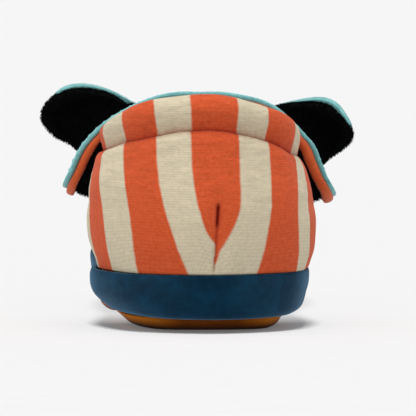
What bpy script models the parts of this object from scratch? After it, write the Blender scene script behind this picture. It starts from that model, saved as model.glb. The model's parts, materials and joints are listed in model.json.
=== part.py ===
"""A child's striped house slipper for the left foot, as a maker would put it together.

The frame: +Y runs from heel to toe, +X to the inner (medial) side, +Z up, metres.
All sizes below are in millimetres on the outside of the slipper; MM turns them into metres.
"""

import math
from collections import namedtuple

import bmesh
import bpy
import numpy as np

MM = 0.001

# Driving sizes of the last and of the sole
HEEL_RADIUS = 31.0        # plan radius of the sole wall round the heel
HEEL_X = 0.5
HEEL_TURN = 5.0           # degrees that the heel's own axis is turned towards the inner side
SHOE_LENGTH = 176.0       # sole wall, heel to toe
BALL_Y = 114.0            # where the sole starts to lift
TOE_SPRING = 5.0          # lift of the toe tip off the floor
ARCH_RISE = 1.2           # lift of the underside at the waist
SEAT_GAP = 0.3            # gap that touching pieces keep

# Sole, measured up from the floor
OUTSOLE_TOP = 3.1
WALL_BOTTOM = OUTSOLE_TOP + SEAT_GAP
WALL_TOP = 17.0
WALL_THICK = 2.0
TRAY_FLOOR = 7.0
INSOLE_THICK = 2.6

# Upper
UPPER_WALL = 3.0          # striped cloth, foam and lining together
UPPER_FOOT = TRAY_FLOOR + SEAT_GAP
TUCK_TOP = 17.1           # where the upper starts to puff out over the sole wall
TUCK_IN = WALL_THICK + SEAT_GAP

# Saddle over the instep: an arc of felt whose two ends hang free at the sides
SADDLE_X = 1.0
SADDLE_TOP = 68.7         # outer face at the back edge
SADDLE_RADIUS = 42.5
SADDLE_SQUARE = 0.8       # how far the arc is filled at its shoulders and drawn in over the tabs
OUTER_SPAN = 71.0         # degrees from the crown to the end of the outer tab, at its back edge
INNER_SPAN = 74.5
SADDLE_TRIM = 6.0         # degrees less at its front edge, so that the tab ends level
SADDLE_BACK = 68.0
SADDLE_FRONT = 106.0
SADDLE_SLOPE = 0.12       # fall towards the toe, mm for each mm
FELT_THICK = 1.5
LINING_THICK = 1.9
CORNER_ROUND = 7.0        # rounding of the tabs' corners

# Ears that stand on the saddle
EAR_Y = 85.0
EAR_LEAN = 5.0            # the tip leans this far back towards the heel
EAR_CUP = 3.0             # depth of the hollow in the back of the ear
EAR_FELT = 1.8
EAR_PLUSH = 3.2
EAR_RIM = 1.6             # felt that shows past the plush along the top of the ear

COLUMNS_PER_SPAN = 5

Section = namedtuple(
    "Section",
    "name edge_x edge_y undercut belly_out belly_z rise "
    "seam_x seam_y seam_z reach_out reach_down roll_high roll_wide",
)


def round_heel(angle, radius):
    """Plan point at an angle from the heel's own axis, minus to the outer side."""
    turn = math.radians(angle + HEEL_TURN)
    return HEEL_X + radius * math.sin(turn), HEEL_RADIUS - radius * math.cos(turn)


# One row for each section, round the foot from the back of the heel by the outer side.
# edge: outline of the sole wall. undercut: how strongly the wall draws in towards the floor.
# belly: how far, and how high, the upper bulges past the wall.
# rise: length of the straight lift above the belly. seam: where the collar is stitched on.
# reach: how far the surface runs out and down from the seam before it turns.
# roll: height and thickness of the padded collar.
R = HEEL_RADIUS
SECTIONS = [
    Section("heel", *round_heel(0, R), 1.1, 1.2, 31, 12, *round_heel(0, 28.2), 57.4, 0.6, 9, 10.2, 8.0),
    Section("heel_outer", *round_heel(-45, R), 1.5, 1.6, 31, 12, *round_heel(-45, 28.8), 55.6, 0.6, 9, 10.2, 8.0),
    Section("ankle_outer", *round_heel(-90, R), 2.1, 1.7, 31, 11, *round_heel(-90, 28.8), 52.0, 0.5, 8, 9.0, 7.5),
    Section("waist_outer", -28.5, 70, 2.2, 1.0, 29, 11, -24.5, 64, 50.6, 1.5, 8, 5.4, 6.0),
    Section("ball_outer", -30.4, 110, 2.2, 0.6, 25, 14, -15.5, 82, 57.0, 14, 2, 2.6, 5.0),
    Section("fore_outer", -27.5, 142, 1.8, 0.6, 24, 18, -10.0, 86, 58.8, 25, 3, 2.4, 5.0),
    Section("toe_outer", -15.5, 166, 1.4, 0.6, 23, 20, -5.0, 88, 59.4, 36, 4, 2.4, 5.0),
    Section("toe", 6.0, SHOE_LENGTH, 1.2, 0.5, 23, 21, 1.0, 88.5, 59.5, 44, 4, 2.4, 5.0),
    Section("toe_inner", 26.5, 166, 1.2, 0.6, 23, 20, 7.0, 88, 59.4, 36, 4, 2.4, 5.0),
    Section("fore_inner", 36.5, 143, 1.0, 0.6, 24, 18, 12.0, 86, 58.8, 25, 3, 2.4, 5.0),
    Section("ball_inner", 36.6, 117, 1.0, 0.6, 25, 13, 17.5, 82, 57.0, 15, 2, 2.6, 5.0),
    Section("waist_inner", 29.0, 75, 1.0, 0.6, 29, 11, 25.0, 65, 50.4, 1.5, 8, 5.4, 6.0),
    Section("ankle_inner", *round_heel(90, R), 1.0, 2.3, 31, 11, *round_heel(90, 28.4), 50.6, 0.5, 8, 9.0, 7.5),
    Section("heel_inner", *round_heel(45, R), 1.0, 1.9, 31, 12, *round_heel(45, 28.2), 53.2, 0.6, 9, 10.2, 8.0),
]

Ear = namedtuple("Ear", "name side start end height peak edge_rim")

# Ears: side is the sign of X, start and end the degrees of arc where the base is sewn on,
# height the length of the ear, peak the place of its highest point along the base,
# edge_rim the felt that shows past the plush at the two ends of the base.
EARS = [
    Ear("outer", -1, 23.5, 55.4, 18.3, 0.70, 0.4),
    Ear("inner", 1, 28.0, 59.5, 16.0, 0.64, 1.5),
]


def closed_curve(knots, values, where):
    """Smooth closed curve through values at knots, read at where; the last knot closes the loop."""
    values = np.asarray(values, float)
    length = knots[-1]
    steps = np.diff(knots).reshape(-1, *([1] * (values.ndim - 1)))
    slopes = (np.roll(values, -1, axis=0) - values) / steps
    before = np.roll(steps, 1, axis=0)
    tangents = (np.roll(slopes, 1, axis=0) * steps + slopes * before) / (steps + before)
    where = np.mod(where, length)
    span = np.clip(np.searchsorted(knots, where, side="right") - 1, 0, len(values) - 1)
    after = (span + 1) % len(values)
    step = steps[span]
    t = ((where - knots[span])).reshape(step.shape) / step
    return (
        values[span] * (1 + 2 * t) * (1 - t) ** 2
        + tangents[span] * step * t * (1 - t) ** 2
        + values[after] * t**2 * (3 - 2 * t)
        + tangents[after] * step * t**2 * (t - 1)
    )


def column(name):
    return [getattr(section, name) for section in SECTIONS]


EDGE_POINTS = np.column_stack([column("edge_x"), column("edge_y")])
SPANS = np.linalg.norm(np.roll(EDGE_POINTS, -1, axis=0) - EDGE_POINTS, axis=1)
KNOTS = np.concatenate([[0.0], np.cumsum(SPANS)])
STEPS = np.arange(COLUMNS_PER_SPAN) / COLUMNS_PER_SPAN
AROUND = np.concatenate([KNOTS[i] + STEPS * SPANS[i] for i in range(len(SPANS))])


def along(*names):
    """The named columns of the table, read at every column of the mesh."""
    return closed_curve(KNOTS, np.column_stack([column(name) for name in names]), AROUND)


def outward_normals(outline):
    """Plan normals of a closed outline that runs clockwise as seen from above."""
    run = np.roll(outline, -1, axis=0) - np.roll(outline, 1, axis=0)
    normals = np.column_stack([-run[:, 1], run[:, 0]])
    return normals / np.linalg.norm(normals, axis=1)[:, None]


EDGE = along("edge_x", "edge_y")
OUTWARD = outward_normals(EDGE)


def smooth_step(low, high, value):
    t = np.clip((value - low) / (high - low), 0, 1)
    return t * t * (3 - 2 * t)


def stand_on_floor(points):
    """Adds the toe spring, and the arch under the waist, which fades out up the wall."""
    y, z = points[:, 1], points[:, 2]
    toe = np.clip((y - BALL_Y) / (SHOE_LENGTH - BALL_Y), 0, None)
    waist = smooth_step(48, 62, y) * (1 - smooth_step(80, 96, y))
    fade = 1 - smooth_step(0, WALL_TOP, z)
    lifted = points.copy()
    lifted[:, 2] = z + TOE_SPRING * toe**2 + ARCH_RISE * waist * fade
    return lifted


def ring(offset, height):
    """The outline of the sole wall moved out by offset, one value or one for each column."""
    flat = EDGE + OUTWARD * np.reshape(offset, (-1, 1))
    return stand_on_floor(np.column_stack([flat, np.full(len(flat), float(height))]))


def wall_rings():
    """Rings of the sole wall: up its outer face, over the top and down to the tray floor."""
    undercut = along("undercut")[:, 0]
    outer = [ring(out * undercut, high) for out, high in WALL_OUTER_PROFILE]
    return outer + [ring(out, high) for out, high in WALL_INNER_PROFILE]


def bezier(start, first, second, end, share):
    rest = 1 - share
    return start * rest**3 + first * 3 * rest**2 * share + second * 3 * rest * share**2 + end * share**3


def upper_rings():
    """Rings of the upper's outer face, from the tray floor to the collar seam."""
    belly_out, belly_z, rise = along("belly_out", "belly_z", "rise").T
    seam = along("seam_x", "seam_y", "seam_z")
    reach_out, reach_down = along("reach_out", "reach_down").T
    up = np.array([0.0, 0.0, 1.0])
    tuck = np.column_stack([EDGE - OUTWARD * TUCK_IN, np.full(len(EDGE), TUCK_TOP)])
    belly = np.column_stack([EDGE + OUTWARD * belly_out[:, None], belly_z])
    out = belly[:, :2] - seam[:, :2]
    out = np.column_stack([out / np.linalg.norm(out, axis=1)[:, None], np.zeros(len(out))])
    puff = np.column_stack([OUTWARD * 2.0, np.full(len(EDGE), 1.2)])
    lift = rise[:, None] * up
    swell = belly - (belly_z - TUCK_TOP)[:, None] * 0.5 * up
    approach = seam + out * reach_out[:, None] - up * reach_down[:, None]
    rings = [ring(-TUCK_IN, UPPER_FOOT)]
    for share in (0.0, 0.14, 0.34, 0.64):
        rings.append(stand_on_floor(bezier(tuck, tuck + puff, swell, belly, share)))
    for share in (0.0, 0.14, 0.29, 0.44, 0.59, 0.73, 0.87, 1.0):
        rings.append(stand_on_floor(bezier(belly, belly + lift, approach, seam, share)))
    return rings


def collar_rings(points_round=10):
    """Rings of the padded collar, a rounded pad that stands on the seam and leans inwards."""
    seam = along("seam_x", "seam_y", "seam_z")
    high, wide = along("roll_high", "roll_wide").T
    inward = -outward_normals(seam[:, :2])
    lean = 0.16 * high
    bulge = 0.7
    rings = []
    for angle in np.linspace(0, 2 * math.pi, points_round, endpoint=False):
        squareness = 0.55 if math.sin(angle) < 0 else 0.85
        across = math.copysign(abs(math.cos(angle)) ** squareness, math.cos(angle))
        upright = math.copysign(abs(math.sin(angle)) ** squareness, math.sin(angle))
        depth = wide / 2 - bulge + across * wide / 2 + (upright + 1) / 2 * lean
        height = SEAT_GAP + (upright + 1) / 2 * high
        flat = seam[:, :2] + inward * depth[:, None]
        rings.append(np.column_stack([flat, seam[:, 2] + height]))
    return rings


def saddle_point(angle, y, radius, side=1):
    """A point at an angle from the crown of the saddle, at a radius from its axis."""
    axis_z = SADDLE_TOP - SADDLE_RADIUS - SADDLE_SLOPE * (y - SADDLE_BACK)
    radius += SADDLE_SQUARE * math.sin(2 * math.pi * abs(math.degrees(angle)) / 80)
    return np.array([SADDLE_X + side * radius * math.sin(angle), y, axis_z + radius * math.cos(angle)])


def saddle_width(share, inset=0.0):
    """Back and front edge of the saddle; share is 0 at the crown and 1 at the end of a tab."""
    to_end = SADDLE_RADIUS * math.radians(OUTER_SPAN) * (1 - share)
    corner = max(0.0, CORNER_ROUND - to_end)
    cut = min(CORNER_ROUND - math.sqrt(max(0.0, CORNER_ROUND**2 - corner**2)), CORNER_ROUND * 0.8)
    back = SADDLE_BACK + 2.0 * share**2 + cut + inset
    front = SADDLE_FRONT - 9.0 * share**2 - cut - inset
    return back, front


def saddle_sheet(radius, shares, inset=0.0, columns=7):
    """Grid of points over a stretch of the saddle, between shares of the way from the crown (0) to
    the end of the outer tab (-1) or of the inner tab (1). radius is a function of that share and
    of how far forward the point lies, from 0 at the back edge to 1 at the front edge."""
    grid = []
    for share in shares:
        span = math.radians(INNER_SPAN if share > 0 else OUTER_SPAN)
        back, front = saddle_width(abs(share), inset)
        line = []
        for forward in np.linspace(0, 1, columns):
            y = back + (front - back) * forward
            angle = share * (span - math.radians(SADDLE_TRIM) * forward)
            line.append(saddle_point(angle, y, radius(share, forward)))
        grid.append(line)
    return np.array(grid)


def ear_height(share, peak):
    """Height of the ear's outline along its base, as a share of its full height."""
    if share < peak:
        return (1 - (1 - share / peak) ** 2) ** 1.2
    return (1 - ((share - peak) / (1 - peak)) ** 5) ** 0.5


def ear_point(ear, angle, reach):
    """A point on the ear's middle surface, which leans back and is hollow towards the heel."""
    share = (angle - math.radians(ear.start)) / math.radians(ear.end - ear.start)
    tall = reach / ear.height
    hollow = EAR_CUP * (1 - (2 * share - 1) ** 2) * math.sin(math.pi * 0.8 * tall)
    y = EAR_Y - EAR_LEAN * tall**2 + hollow
    return saddle_point(angle, y, SADDLE_RADIUS + SEAT_GAP + reach, ear.side)


def ear_behind(ear, angle, reach, setback):
    """The point of the ear moved square off its surface, towards the heel."""
    step = 0.01
    point = ear_point(ear, angle, reach)
    along_base = ear_point(ear, angle + step * 0.02, reach) - point
    up_ear = ear_point(ear, angle, reach + step) - point
    normal = np.cross(along_base, up_ear)
    normal *= -np.sign(normal[1]) / np.linalg.norm(normal)
    return point + normal * setback


def ear_sheet(ear, setback, rim, edge_rim, rows=15, columns=6):
    """Grid of an ear: rows along its base, columns from its base to its edge."""
    grid = []
    margin = math.degrees(edge_rim / (SADDLE_RADIUS + ear.height / 2))
    ends = 0.02
    for share in 0.5 - 0.5 * np.cos(np.linspace(0, math.pi, rows)):
        share = ends + (1 - 2 * ends) * share
        angle = math.radians(ear.start + margin + (ear.end - ear.start - 2 * margin) * share)
        tall = max(1.2, ear.height * ear_height(share, ear.peak) - rim)
        grid.append([ear_behind(ear, angle, tall * up, setback) for up in np.linspace(0, 1, columns)])
    return np.array(grid)


def material(name, colour, roughness):
    made = bpy.data.materials.new(name)
    made.use_nodes = True
    shader = made.node_tree.nodes["Principled BSDF"]
    shader.inputs["Base Color"].default_value = (*colour, 1.0)
    shader.inputs["Roughness"].default_value = roughness
    shader.inputs["Metallic"].default_value = 0.0
    return made


def add_object(name, mesh_builder, collection, parent, finish):
    mesh = bpy.data.meshes.new(name)
    shape = bmesh.new()
    mesh_builder(shape)
    shape.to_mesh(mesh)
    shape.free()
    mesh.materials.append(finish)
    mesh.shade_smooth()
    mesh.set_sharp_from_angle(angle=math.radians(50))
    made = bpy.data.objects.new(name, mesh)
    made.parent = parent
    collection.objects.link(made)
    return made


def add_rings(shape, rings):
    """Skins a stack of closed rings and returns their vertices, ring by ring."""
    made = [[shape.verts.new(point * MM) for point in points] for points in rings]
    count = len(rings[0])
    for low, high in zip(made, made[1:]):
        for i in range(count):
            j = (i + 1) % count
            shape.faces.new((low[i], high[i], high[j], low[j]))
    return made


def cap_across(shape, loop):
    """Closes a ring with strips that run from the outer side of the foot to the inner."""
    count = len(loop)
    for i in range(count // 2):
        strip = (loop[i], loop[i + 1], loop[count - i - 1], loop[(count - i) % count])
        shape.faces.new(list(dict.fromkeys(strip)))


def solid_of_rings(rings):
    def build(shape):
        made = add_rings(shape, rings)
        cap_across(shape, made[0])
        cap_across(shape, made[-1])
        bmesh.ops.recalc_face_normals(shape, faces=shape.faces)

    return build


def closed_tube_of_rings(rings):
    def build(shape):
        made = add_rings(shape, rings)
        count = len(rings[0])
        for i in range(count):
            j = (i + 1) % count
            shape.faces.new((made[-1][i], made[0][i], made[0][j], made[-1][j]))
        bmesh.ops.recalc_face_normals(shape, faces=shape.faces)

    return build


def open_rings(rings):
    def build(shape):
        add_rings(shape, rings)

    return build


def open_sheet(grid):
    rows, columns = grid.shape[:2]

    def build(shape):
        made = [[shape.verts.new(point * MM) for point in line] for line in grid]
        for i in range(rows - 1):
            for j in range(columns - 1):
                shape.faces.new((made[i][j], made[i + 1][j], made[i + 1][j + 1], made[i][j + 1]))

    return build


def closed_block(outer, inner):
    """A pad between two grids of the same size, joined round their edges."""
    rows, columns = outer.shape[:2]
    border = [(i, 0) for i in range(rows)] + [(rows - 1, j) for j in range(1, columns)]
    border += [(i, columns - 1) for i in range(rows - 2, -1, -1)] + [(0, j) for j in range(columns - 2, 0, -1)]

    def build(shape):
        faces = []
        for grid in (outer, inner):
            made = [[shape.verts.new(point * MM) for point in line] for line in grid]
            for i in range(rows - 1):
                for j in range(columns - 1):
                    shape.faces.new((made[i][j], made[i + 1][j], made[i + 1][j + 1], made[i][j + 1]))
            faces.append(made)
        for (i, j), (k, m) in zip(border, border[1:] + border[:1]):
            shape.faces.new((faces[0][i][j], faces[0][k][m], faces[1][k][m], faces[1][i][j]))
        bmesh.ops.recalc_face_normals(shape, faces=shape.faces)

    return build


def thicken(made, thickness, offset):
    wall = made.modifiers.new("wall", "SOLIDIFY")
    wall.thickness = thickness * MM
    wall.offset = offset
    wall.use_rim = True
    return made


# Profiles of the sole pieces: how far outside the wall's outline, and how high
OUTSOLE_PROFILE = [(-11.0, 0.0), (-8.6, 0.4), (-6.8, 1.5), (-6.0, OUTSOLE_TOP - 0.4), (-6.6, OUTSOLE_TOP)]
WALL_OUTER_PROFILE = [
    (-4.4, WALL_BOTTOM),
    (-3.0, WALL_BOTTOM + 0.3),
    (-1.8, WALL_BOTTOM + 1.5),
    (-0.9, WALL_BOTTOM + 3.8),
    (-0.3, WALL_BOTTOM + 7.6),
    (0.0, WALL_TOP - 0.8),
]
WALL_INNER_PROFILE = [
    (-0.5, WALL_TOP),
    (-WALL_THICK + 0.3, WALL_TOP),
    (-WALL_THICK, WALL_TOP - 0.6),
    (-WALL_THICK, TRAY_FLOOR),
]
INSOLE_IN = TUCK_IN + UPPER_WALL + 0.4
INSOLE_BOTTOM = TRAY_FLOOR + SEAT_GAP
INSOLE_PROFILE = [
    (-INSOLE_IN, INSOLE_BOTTOM),
    (-INSOLE_IN, INSOLE_BOTTOM + INSOLE_THICK - 0.7),
    (-INSOLE_IN - 0.8, INSOLE_BOTTOM + INSOLE_THICK),
]

LINING_OUTER = SADDLE_RADIUS - FELT_THICK - SEAT_GAP
PAD_OUTER = LINING_OUTER - LINING_THICK - SEAT_GAP
PAD_START = 0.62          # share of the way from the crown to the end of the tab
PAD_END = 0.975
PAD_THIN = 2.0
PAD_THICK = 5.4           # at the end of a tab, at its back edge
PAD_TAPER = 0.76          # share of the thickness that is lost towards the toe
PAD_INSET = 1.2


def pad_inner_radius(share, forward):
    """Inner face of the plush in a tab, thick at the tab's end and thinner towards the toe."""
    grown = (abs(share) - PAD_START) / (PAD_END - PAD_START)
    thick = PAD_THIN + (PAD_THICK - PAD_THIN) * grown
    return PAD_OUTER - thick * (1 - PAD_TAPER * forward)


def build_slipper():
    for old in list(bpy.data.objects):
        bpy.data.objects.remove(old)
    parts = bpy.data.collections.new("striped_slipper")
    bpy.context.scene.collection.children.link(parts)
    base = bpy.data.objects.new("slipper_frame", None)
    parts.objects.link(base)

    striped = material("striped_cloth", (0.55, 0.22, 0.12), 0.9)
    navy = material("navy_felt_wall", (0.012, 0.05, 0.09), 0.8)
    gum = material("honey_rubber", (0.45, 0.2, 0.04), 0.5)
    teal = material("teal_felt", (0.2, 0.46, 0.45), 0.9)
    orange = material("orange_felt", (0.62, 0.14, 0.05), 0.9)
    plush = material("black_plush", (0.006, 0.006, 0.006), 0.95)
    bed = material("insole_felt", (0.3, 0.42, 0.42), 0.9)

    add_object("outsole", solid_of_rings([ring(*p) for p in OUTSOLE_PROFILE]), parts, base, gum)
    add_object("sole_wall", solid_of_rings(wall_rings()), parts, base, navy)
    add_object("insole", solid_of_rings([ring(*p) for p in INSOLE_PROFILE]), parts, base, bed)
    upper = add_object("upper", open_rings(upper_rings()), parts, base, striped)
    thicken(upper, UPPER_WALL, -1)
    add_object("collar", closed_tube_of_rings(collar_rings()), parts, base, striped)

    even = np.linspace(-1, 1, 27)
    across = 0.55 * even + 0.45 * np.sin(even * math.pi / 2)
    felt_middle = SADDLE_RADIUS - FELT_THICK / 2
    felt = saddle_sheet(lambda share, forward: felt_middle, across)
    thicken(add_object("saddle_felt", open_sheet(felt), parts, base, teal), FELT_THICK, 0)
    lining_middle = LINING_OUTER - LINING_THICK / 2
    lining = saddle_sheet(lambda share, forward: lining_middle, across)
    thicken(add_object("saddle_lining", open_sheet(lining), parts, base, orange), LINING_THICK, 0)
    for name, side in (("outer", -1), ("inner", 1)):
        down = side * np.linspace(PAD_START, PAD_END, 7)
        outer = saddle_sheet(lambda share, forward: PAD_OUTER, down, PAD_INSET, columns=5)
        inner = saddle_sheet(pad_inner_radius, down, PAD_INSET, columns=5)
        add_object("tab_plush_" + name, closed_block(outer, inner), parts, base, plush)

    plush_setback = EAR_FELT / 2 + SEAT_GAP + EAR_PLUSH / 2
    for ear in EARS:
        front = ear_sheet(ear, 0.0, 0.0, 0.0)
        thicken(add_object("ear_felt_" + ear.name, open_sheet(front), parts, base, teal), EAR_FELT, 0)
        back = ear_sheet(ear, plush_setback, EAR_RIM, ear.edge_rim)
        thicken(add_object("ear_plush_" + ear.name, open_sheet(back), parts, base, plush), EAR_PLUSH, 0)

    centre_on_floor(parts, base)


def centre_on_floor(parts, base):
    """Puts the origin under the middle of the slipper's box, at floor level."""
    bpy.context.view_layer.update()
    graph = bpy.context.evaluated_depsgraph_get()
    corners = [
        made.matrix_world @ vertex.co
        for made in parts.objects
        if made.type == "MESH"
        for vertex in made.evaluated_get(graph).data.vertices
    ]
    box = np.array([corner[:] for corner in corners])
    middle = (box.min(axis=0) + box.max(axis=0)) / 2
    base.location = (-middle[0], -middle[1], -box[:, 2].min())


build_slipper()
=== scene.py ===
# %% [markdown]
# # A child's striped slipper, dressed over its CAD frame
# The CAD frame gives thirteen plain solids in their right places. This lesson turns each of them
# into the cloth, felt, plush and rubber of a real slipper: every solid is copied, rounded with
# subdivision, shaped a little further where cloth would pucker, and given a procedural material.
# Lengths are in millimetres unless a line says otherwise, and turn to Blender's metres when they
# are written.

# %% Load the frame
import json
import math
import bpy
import numpy as np
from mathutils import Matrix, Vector, noise

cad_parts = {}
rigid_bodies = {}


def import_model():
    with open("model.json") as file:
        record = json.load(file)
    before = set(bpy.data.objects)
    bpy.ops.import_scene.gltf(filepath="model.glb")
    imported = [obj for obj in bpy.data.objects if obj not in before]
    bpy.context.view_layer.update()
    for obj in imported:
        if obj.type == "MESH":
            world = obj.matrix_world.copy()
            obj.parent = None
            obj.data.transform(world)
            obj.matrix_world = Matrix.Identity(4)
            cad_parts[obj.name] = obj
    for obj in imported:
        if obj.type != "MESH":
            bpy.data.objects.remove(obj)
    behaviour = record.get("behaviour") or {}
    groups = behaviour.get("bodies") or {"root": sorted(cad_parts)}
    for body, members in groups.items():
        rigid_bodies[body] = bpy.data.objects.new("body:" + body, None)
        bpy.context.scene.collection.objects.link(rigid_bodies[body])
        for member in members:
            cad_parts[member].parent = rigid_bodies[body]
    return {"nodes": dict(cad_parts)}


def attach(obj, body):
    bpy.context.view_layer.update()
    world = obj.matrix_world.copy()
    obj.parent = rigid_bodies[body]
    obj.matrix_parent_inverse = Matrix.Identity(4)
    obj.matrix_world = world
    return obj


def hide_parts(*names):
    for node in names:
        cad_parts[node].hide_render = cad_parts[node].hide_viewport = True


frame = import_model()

MM, TO_MM = 0.001, 1000
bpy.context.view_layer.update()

# %% [markdown]
# ## Camera
# The shoe is seen from straight behind its heel, from just above the floor and from far off, so
# its lines stay almost parallel. A long lens at a metre and a half gives that. The camera could be
# turned with a constraint, but a look direction turned into a rotation is simpler to read.

# %% Place the camera behind the heel
VIEW_TURN, VIEW_RISE = math.radians(-3.0), math.radians(3.0)
VIEW_DISTANCE = 1.5  # metres
PICTURE_WIDTH = 122 * MM
SENSOR_WIDTH = 36.0
SIGHT_END = 200.0  # metres
look_at = Vector((1.0 * MM, -50.0 * MM, 34.5 * MM))
towards_camera = Vector((math.sin(VIEW_TURN) * math.cos(VIEW_RISE),
                         -math.cos(VIEW_TURN) * math.cos(VIEW_RISE),
                         math.sin(VIEW_RISE)))
bpy.ops.object.select_all(action="DESELECT")
bpy.ops.object.camera_add(location=look_at + towards_camera * VIEW_DISTANCE)
camera = bpy.context.object
camera.rotation_euler = (-towards_camera).to_track_quat("-Z", "Y").to_euler()
camera.data.sensor_width = SENSOR_WIDTH
camera.data.lens = SENSOR_WIDTH * VIEW_DISTANCE / PICTURE_WIDTH
camera.data.clip_end = SIGHT_END
bpy.context.scene.camera = camera
print("lens in mm:", round(camera.data.lens, 1))

# %% [markdown]
# ## Nodes and colours
# Light and materials are both made of nodes. By hand they are dragged in and wired one by one;
# here one small function adds any node, sets it and wires it. Colours are written as the sRGB hex
# values that a colour picker shows, and turned to the linear light that Blender works in.

# %% Helpers for nodes and colours
MATH, MIX, RANGE = "ShaderNodeMath", "ShaderNodeMix", "ShaderNodeMapRange"
NOISE, VECTOR, BUMP = "ShaderNodeTexNoise", "ShaderNodeVectorMath", "ShaderNodeBump"
SPLIT, COORDS = "ShaderNodeSeparateXYZ", "ShaderNodeTexCoord"
# A Map Range node takes its value at socket 0, the range it reads at 1 and 2, and the range it gives
# at 3 and 4. A Mix node takes its share at 0, and keeps its two colours and their mixture here:
A, B, MIXED = 6, 7, 2


def linear(hex_colour):
    """An sRGB hex colour as the linear red, green, blue and alpha that Blender's sockets take."""
    parts = [int(hex_colour[i:i + 2], 16) / 255 for i in (1, 3, 5)]
    return [p / 12.92 if p <= 0.04045 else ((p + 0.055) / 1.055) ** 2.4 for p in parts] + [1.0]


def set_sockets(node, values):
    """Fills a node's sockets: a value is set, and another node's output is linked."""
    for socket, value in values.items():
        if isinstance(value, bpy.types.NodeSocket):
            node.id_data.links.new(value, node.inputs[socket])
        else:
            node.inputs[socket].default_value = value


def add(tree, kind, inputs=None, **settings):
    """Adds a node, sets its properties, then fills its sockets with values or with links."""
    node = tree.nodes.new(kind)
    for name, value in settings.items():
        setattr(node, name, value)
    set_sockets(node, inputs or {})
    return node


# %% Helpers that start and finish a material
def new_material(name):
    """An empty node material and its tree."""
    material = bpy.data.materials.new(name)
    material.use_nodes = True
    return material, material.node_tree


def finish_material(material, values):
    """Fills the sockets of the material's own shader, and says what was made."""
    set_sockets(material.node_tree.nodes["Principled BSDF"], values)
    print("material", material.name, "has", len(material.node_tree.nodes), "nodes")


# %% [markdown]
# ## Studio light
# The shoe stands in a white studio with soft light all round. Softboxes could be modelled, but
# lamps that stand close light a floor unevenly, and suns light all of it alike. The world gives
# the fill, and is brighter below than above, as over a white floor. A high sun and two low ones
# beside the camera light the shoe, and the floor has a sun of its own.

# %% The world's fill
scene = bpy.context.scene
scene.view_settings.view_transform = "Standard"
FILL_ABOVE, FILL_BELOW = 0.30, 0.70
FILL_TURNS = (-0.6, 0.8)  # from straight down, -1, to straight up, 1
world = bpy.data.worlds.new("white_studio")
scene.world = world
world.use_nodes = True
sky = world.node_tree
height = add(sky, SPLIT, {0: add(sky, COORDS).outputs["Generated"]}).outputs["Z"]
fill = add(sky, RANGE, {0: height, 1: FILL_TURNS[0], 2: FILL_TURNS[1], 3: FILL_BELOW, 4: FILL_ABOVE})
set_sockets(sky.nodes["Background"], {"Color": linear("#fbfbfd"), "Strength": fill.outputs[0]})
print("world fill:", FILL_BELOW, "below and", FILL_ABOVE, "above")

# %% Four suns: strength, spread in degrees, and the way the light goes
SUNS = {"high_sun": (2.65, 40, (0.03, 0.10, -1.0)),
        "floor_sun": (3.15, 20, (0.10, 0.55, -1.0)),
        "left_sun": (1.25, 40, (0.85, 0.50, -0.15)),
        "right_sun": (0.95, 40, (-0.85, 0.50, -0.15))}
for name, (strength, spread, direction) in SUNS.items():
    bpy.ops.object.light_add(type="SUN")
    sun = bpy.context.object
    sun.name = name
    sun.data.energy = strength
    sun.data.angle = math.radians(spread)
    sun.rotation_euler = Vector(direction).to_track_quat("-Z", "Y").to_euler()
print("suns:", ", ".join(SUNS))

# %% [markdown]
# ## Floor
# The floor is a sweep of matt white paper that runs on past the picture. A paper sweep is often lit
# from behind, so it glows, and it glows more further ahead: there a shadow would be washed out, and
# it stays close beside the sole. The floor is kept out of the bounced light, which comes from the
# world's lower half instead, so that the undersides of the rolls stay as dark as in a real studio.

# %% The paper floor
FLOOR_SIZE = 60.0  # metres
GLOW_NEAR, GLOW_FAR = 0.12, 0.69
GLOW_STARTS, GLOW_FULL = -45.0, -5.0
# A pattern's size is a length over how many lie in it: here nine clouds in 100 mm. The grain of
# paper itself is far too fine to show at this picture size, so only clouds of tone are drawn.
PAPER_CLOUD = 100 / 9
bpy.ops.object.select_all(action="DESELECT")
bpy.ops.mesh.primitive_plane_add(size=FLOOR_SIZE)
floor = bpy.context.object
floor.name = "studio_floor"
# Uncoated paper has no gloss: the eye sees one clean pale tone with the faintest cloud in it.
paper, tree = new_material("matt_white_paper")
place = add(tree, COORDS).outputs["Object"]
cloud = add(tree, NOISE, {"Vector": place, "Scale": 1 / (PAPER_CLOUD * MM), "Detail": 3.0}).outputs["Fac"]
ahead = add(tree, SPLIT, {0: place}).outputs["Y"]
ahead = add(tree, RANGE, {0: ahead, 1: GLOW_STARTS * MM, 2: GLOW_FULL * MM}).outputs[0]
glow = add(tree, RANGE, {0: ahead, 3: GLOW_NEAR, 4: GLOW_FAR}).outputs[0]
near = add(tree, MIX, {0: cloud, A: linear("#d4d4d4"), B: linear("#d8d8d8")},
           data_type="RGBA").outputs[MIXED]
tone = add(tree, MIX, {0: ahead, A: near, B: linear("#7a7a7a")}, data_type="RGBA").outputs[MIXED]
finish_material(paper, {"Roughness": 0.9, "Specular IOR Level": 0.05, "Base Color": tone,
                        "Emission Color": linear("#fdfdfd"), "Emission Strength": glow})
floor.data.materials.append(paper)
floor.visible_diffuse = False
floor.visible_shadow = False

# %% Say which sun lights what
for name, state, suns in (("shoe_only", "EXCLUDE", ("high_sun", "left_sun", "right_sun")),
                          ("floor_only", "INCLUDE", ("floor_sun",))):
    group = bpy.data.collections.new(name)
    group.objects.link(floor)
    group.collection_objects[0].light_linking.link_state = state
    for sun_name in suns:
        bpy.data.objects[sun_name].light_linking.receiver_collection = group
    print(name + ":", ", ".join(suns))
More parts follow.
